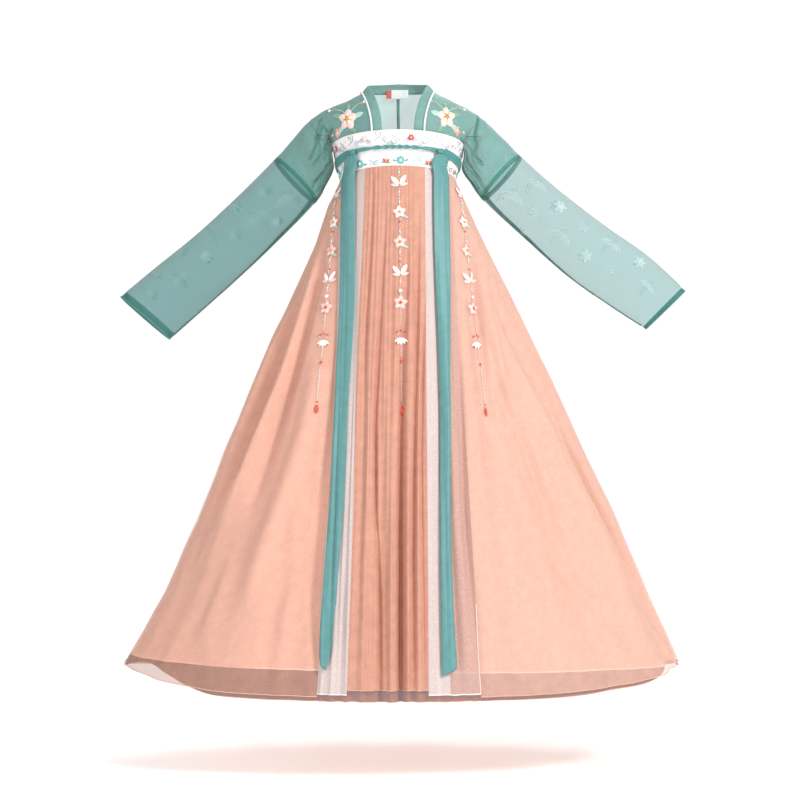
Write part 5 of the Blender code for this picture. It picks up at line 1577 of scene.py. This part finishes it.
SHEETS = (
    # key, cut width and length, how held, what it lies on, area, pieces on it
    ("lining", (3.30, 1.12), "gathered", ("band_front_cloth",), 2.20, ()),
    ("under", (1.80, 1.16), "gathered", ("skirt_lining_cloth",), 1.30, ()),
    ("back", (1.90, 1.16), "gathered", ("skirt_lining_cloth",), 1.25, ()),
    ("side_right", (0.72, 1.15), "gathered", ("skirt_front_under_cloth",), 0.45, ("string_right",)),
    ("side_left", (0.76, 1.15), "gathered", ("skirt_front_under_cloth",), 0.48, ("string_left",)),
    ("white_right", (0.10, 1.14), "gathered", ("skirt_front_under_cloth",), 0.078, ()),
    ("white_left", (0.14, 1.14), "gathered", ("skirt_front_under_cloth",), 0.107, ()),
    ("centre", (0.30, 1.12), "gathered", ("skirt_front_under_cloth",), 0.25, ("string_centre",)),
    ("band_front", (0.44, 0.08), "stretched", (), None, ("band_embroidery",)),
    ("band_back", (0.42, 0.08), "stretched", (), None, ()),
    ("tie", (0.86, 0.036), "gathered", ("band_front_cloth",), None, ("knot_right", "knot_left")),
    ("streamer_right", (0.033, 1.22), "hung", ("side_panel_right_cloth",), None, ()),
    ("streamer_left", (0.035, 1.24), "hung", ("side_panel_left_cloth",), 0.040, ()),
    ("piping", (0.64, 0.014), "stretched", (), None, ()),
    ("collar", (1.24, 0.0215), "stretched", (), None, ()),
    ("label", (0.039, 0.0205), "stretched", (), None, ()),
    ("tab", (0.0108, 0.018), "stretched", (), None, ()),
    (("body", 1), (0.62, 0.62), "draped", (), 0.19, (("seams", 1), ("spray", 1))),
    (("body", -1), (0.62, 0.62), "draped", (), 0.19, (("seams", -1), ("spray", -1))),
    (("sleeve", 1), (0.42, 0.50), "draped", (), 0.165, ()),
    (("sleeve", -1), (0.42, 0.50), "draped", (), 0.165, ()),
    (("cuff", 1), (0.24, 0.0155), "draped", (), None, ()),
    (("cuff", -1), (0.24, 0.024), "draped", (), None, ()),
)


def listed(keys):
    """The pieces of some keys, in one list."""
    found = []
    for key in keys:
        found += made[key] if isinstance(made[key], list) else [made[key]]
    return found


for key, flat, held, rests_on, area, with_keys in SHEETS:
    list(rests_on)
    listed(with_keys)

# ---------------------------------------------------------------- stage and light


def make_stage():
    """A pale round floor, and a white surround that the camera sees from any side and no light meets."""
    sides = 96
    turn = np.arange(sides) * 2 * np.pi / sides
    for name, rings in (
        ("floor", ((0.5, 0.0), (FLOOR_RADIUS, 0.0))),
        ("surround", ((SURROUND_RADIUS, SURROUND_LOW), (SURROUND_RADIUS, SURROUND_TOP))),
    ):
        points = [(r * np.cos(t), r * np.sin(t), FLOOR_Z + z) for r, z in rings for t in turn]
        faces = [(k, (k + 1) % sides, sides + (k + 1) % sides, sides + k) for k in range(sides)]
        if name == "floor":
            faces.append(tuple(range(sides)))
        mesh = bpy.data.meshes.new(name)
        mesh.from_pydata(points, [], faces)
        cover = finish("pale " + name, "F4F4F4", 1.0, 0.95, 0.0)
        inputs = cover.node_tree.nodes["Principled BSDF"].inputs
        inputs["Emission Color"].default_value = (1.0, 1.0, 1.0, 1.0)
        inputs["Emission Strength"].default_value = STAGE_GLOW[name]
        mesh.materials.append(cover)
        piece = add_object(name, mesh)
        if name == "surround":
            piece.visible_diffuse = piece.visible_glossy = False
            piece.visible_transmission = piece.visible_shadow = False


def make_light(name, place, size, power):
    data = bpy.data.lights.new(name, "AREA")
    data.shape, data.size, data.energy = "DISK", size, power
    light = add_object(name, data)
    light.location = place
    light.rotation_euler = (Vector(LIGHT_AIM) - Vector(place)).to_track_quat("-Z", "Y").to_euler()
    light.visible_camera = False


def make_world():
    world = bpy.data.worlds.new("studio")
    world.use_nodes = True
    background = world.node_tree.nodes["Background"]
    background.inputs["Color"].default_value = (1.0, 1.0, 1.0, 1.0)
    background.inputs["Strength"].default_value = WORLD_GLOW
    bpy.context.scene.world = world


make_stage()
make_light("key", (2.8, -3.3, 2.0), 1.3, 175.0)
make_light("fill", (-3.4, -3.4, 0.8), 2.6, 45.0)
make_light("back", (0.8, 2.6, 2.6), 2.2, 60.0)
make_world()
bpy.context.scene.view_settings.view_transform = "Standard"
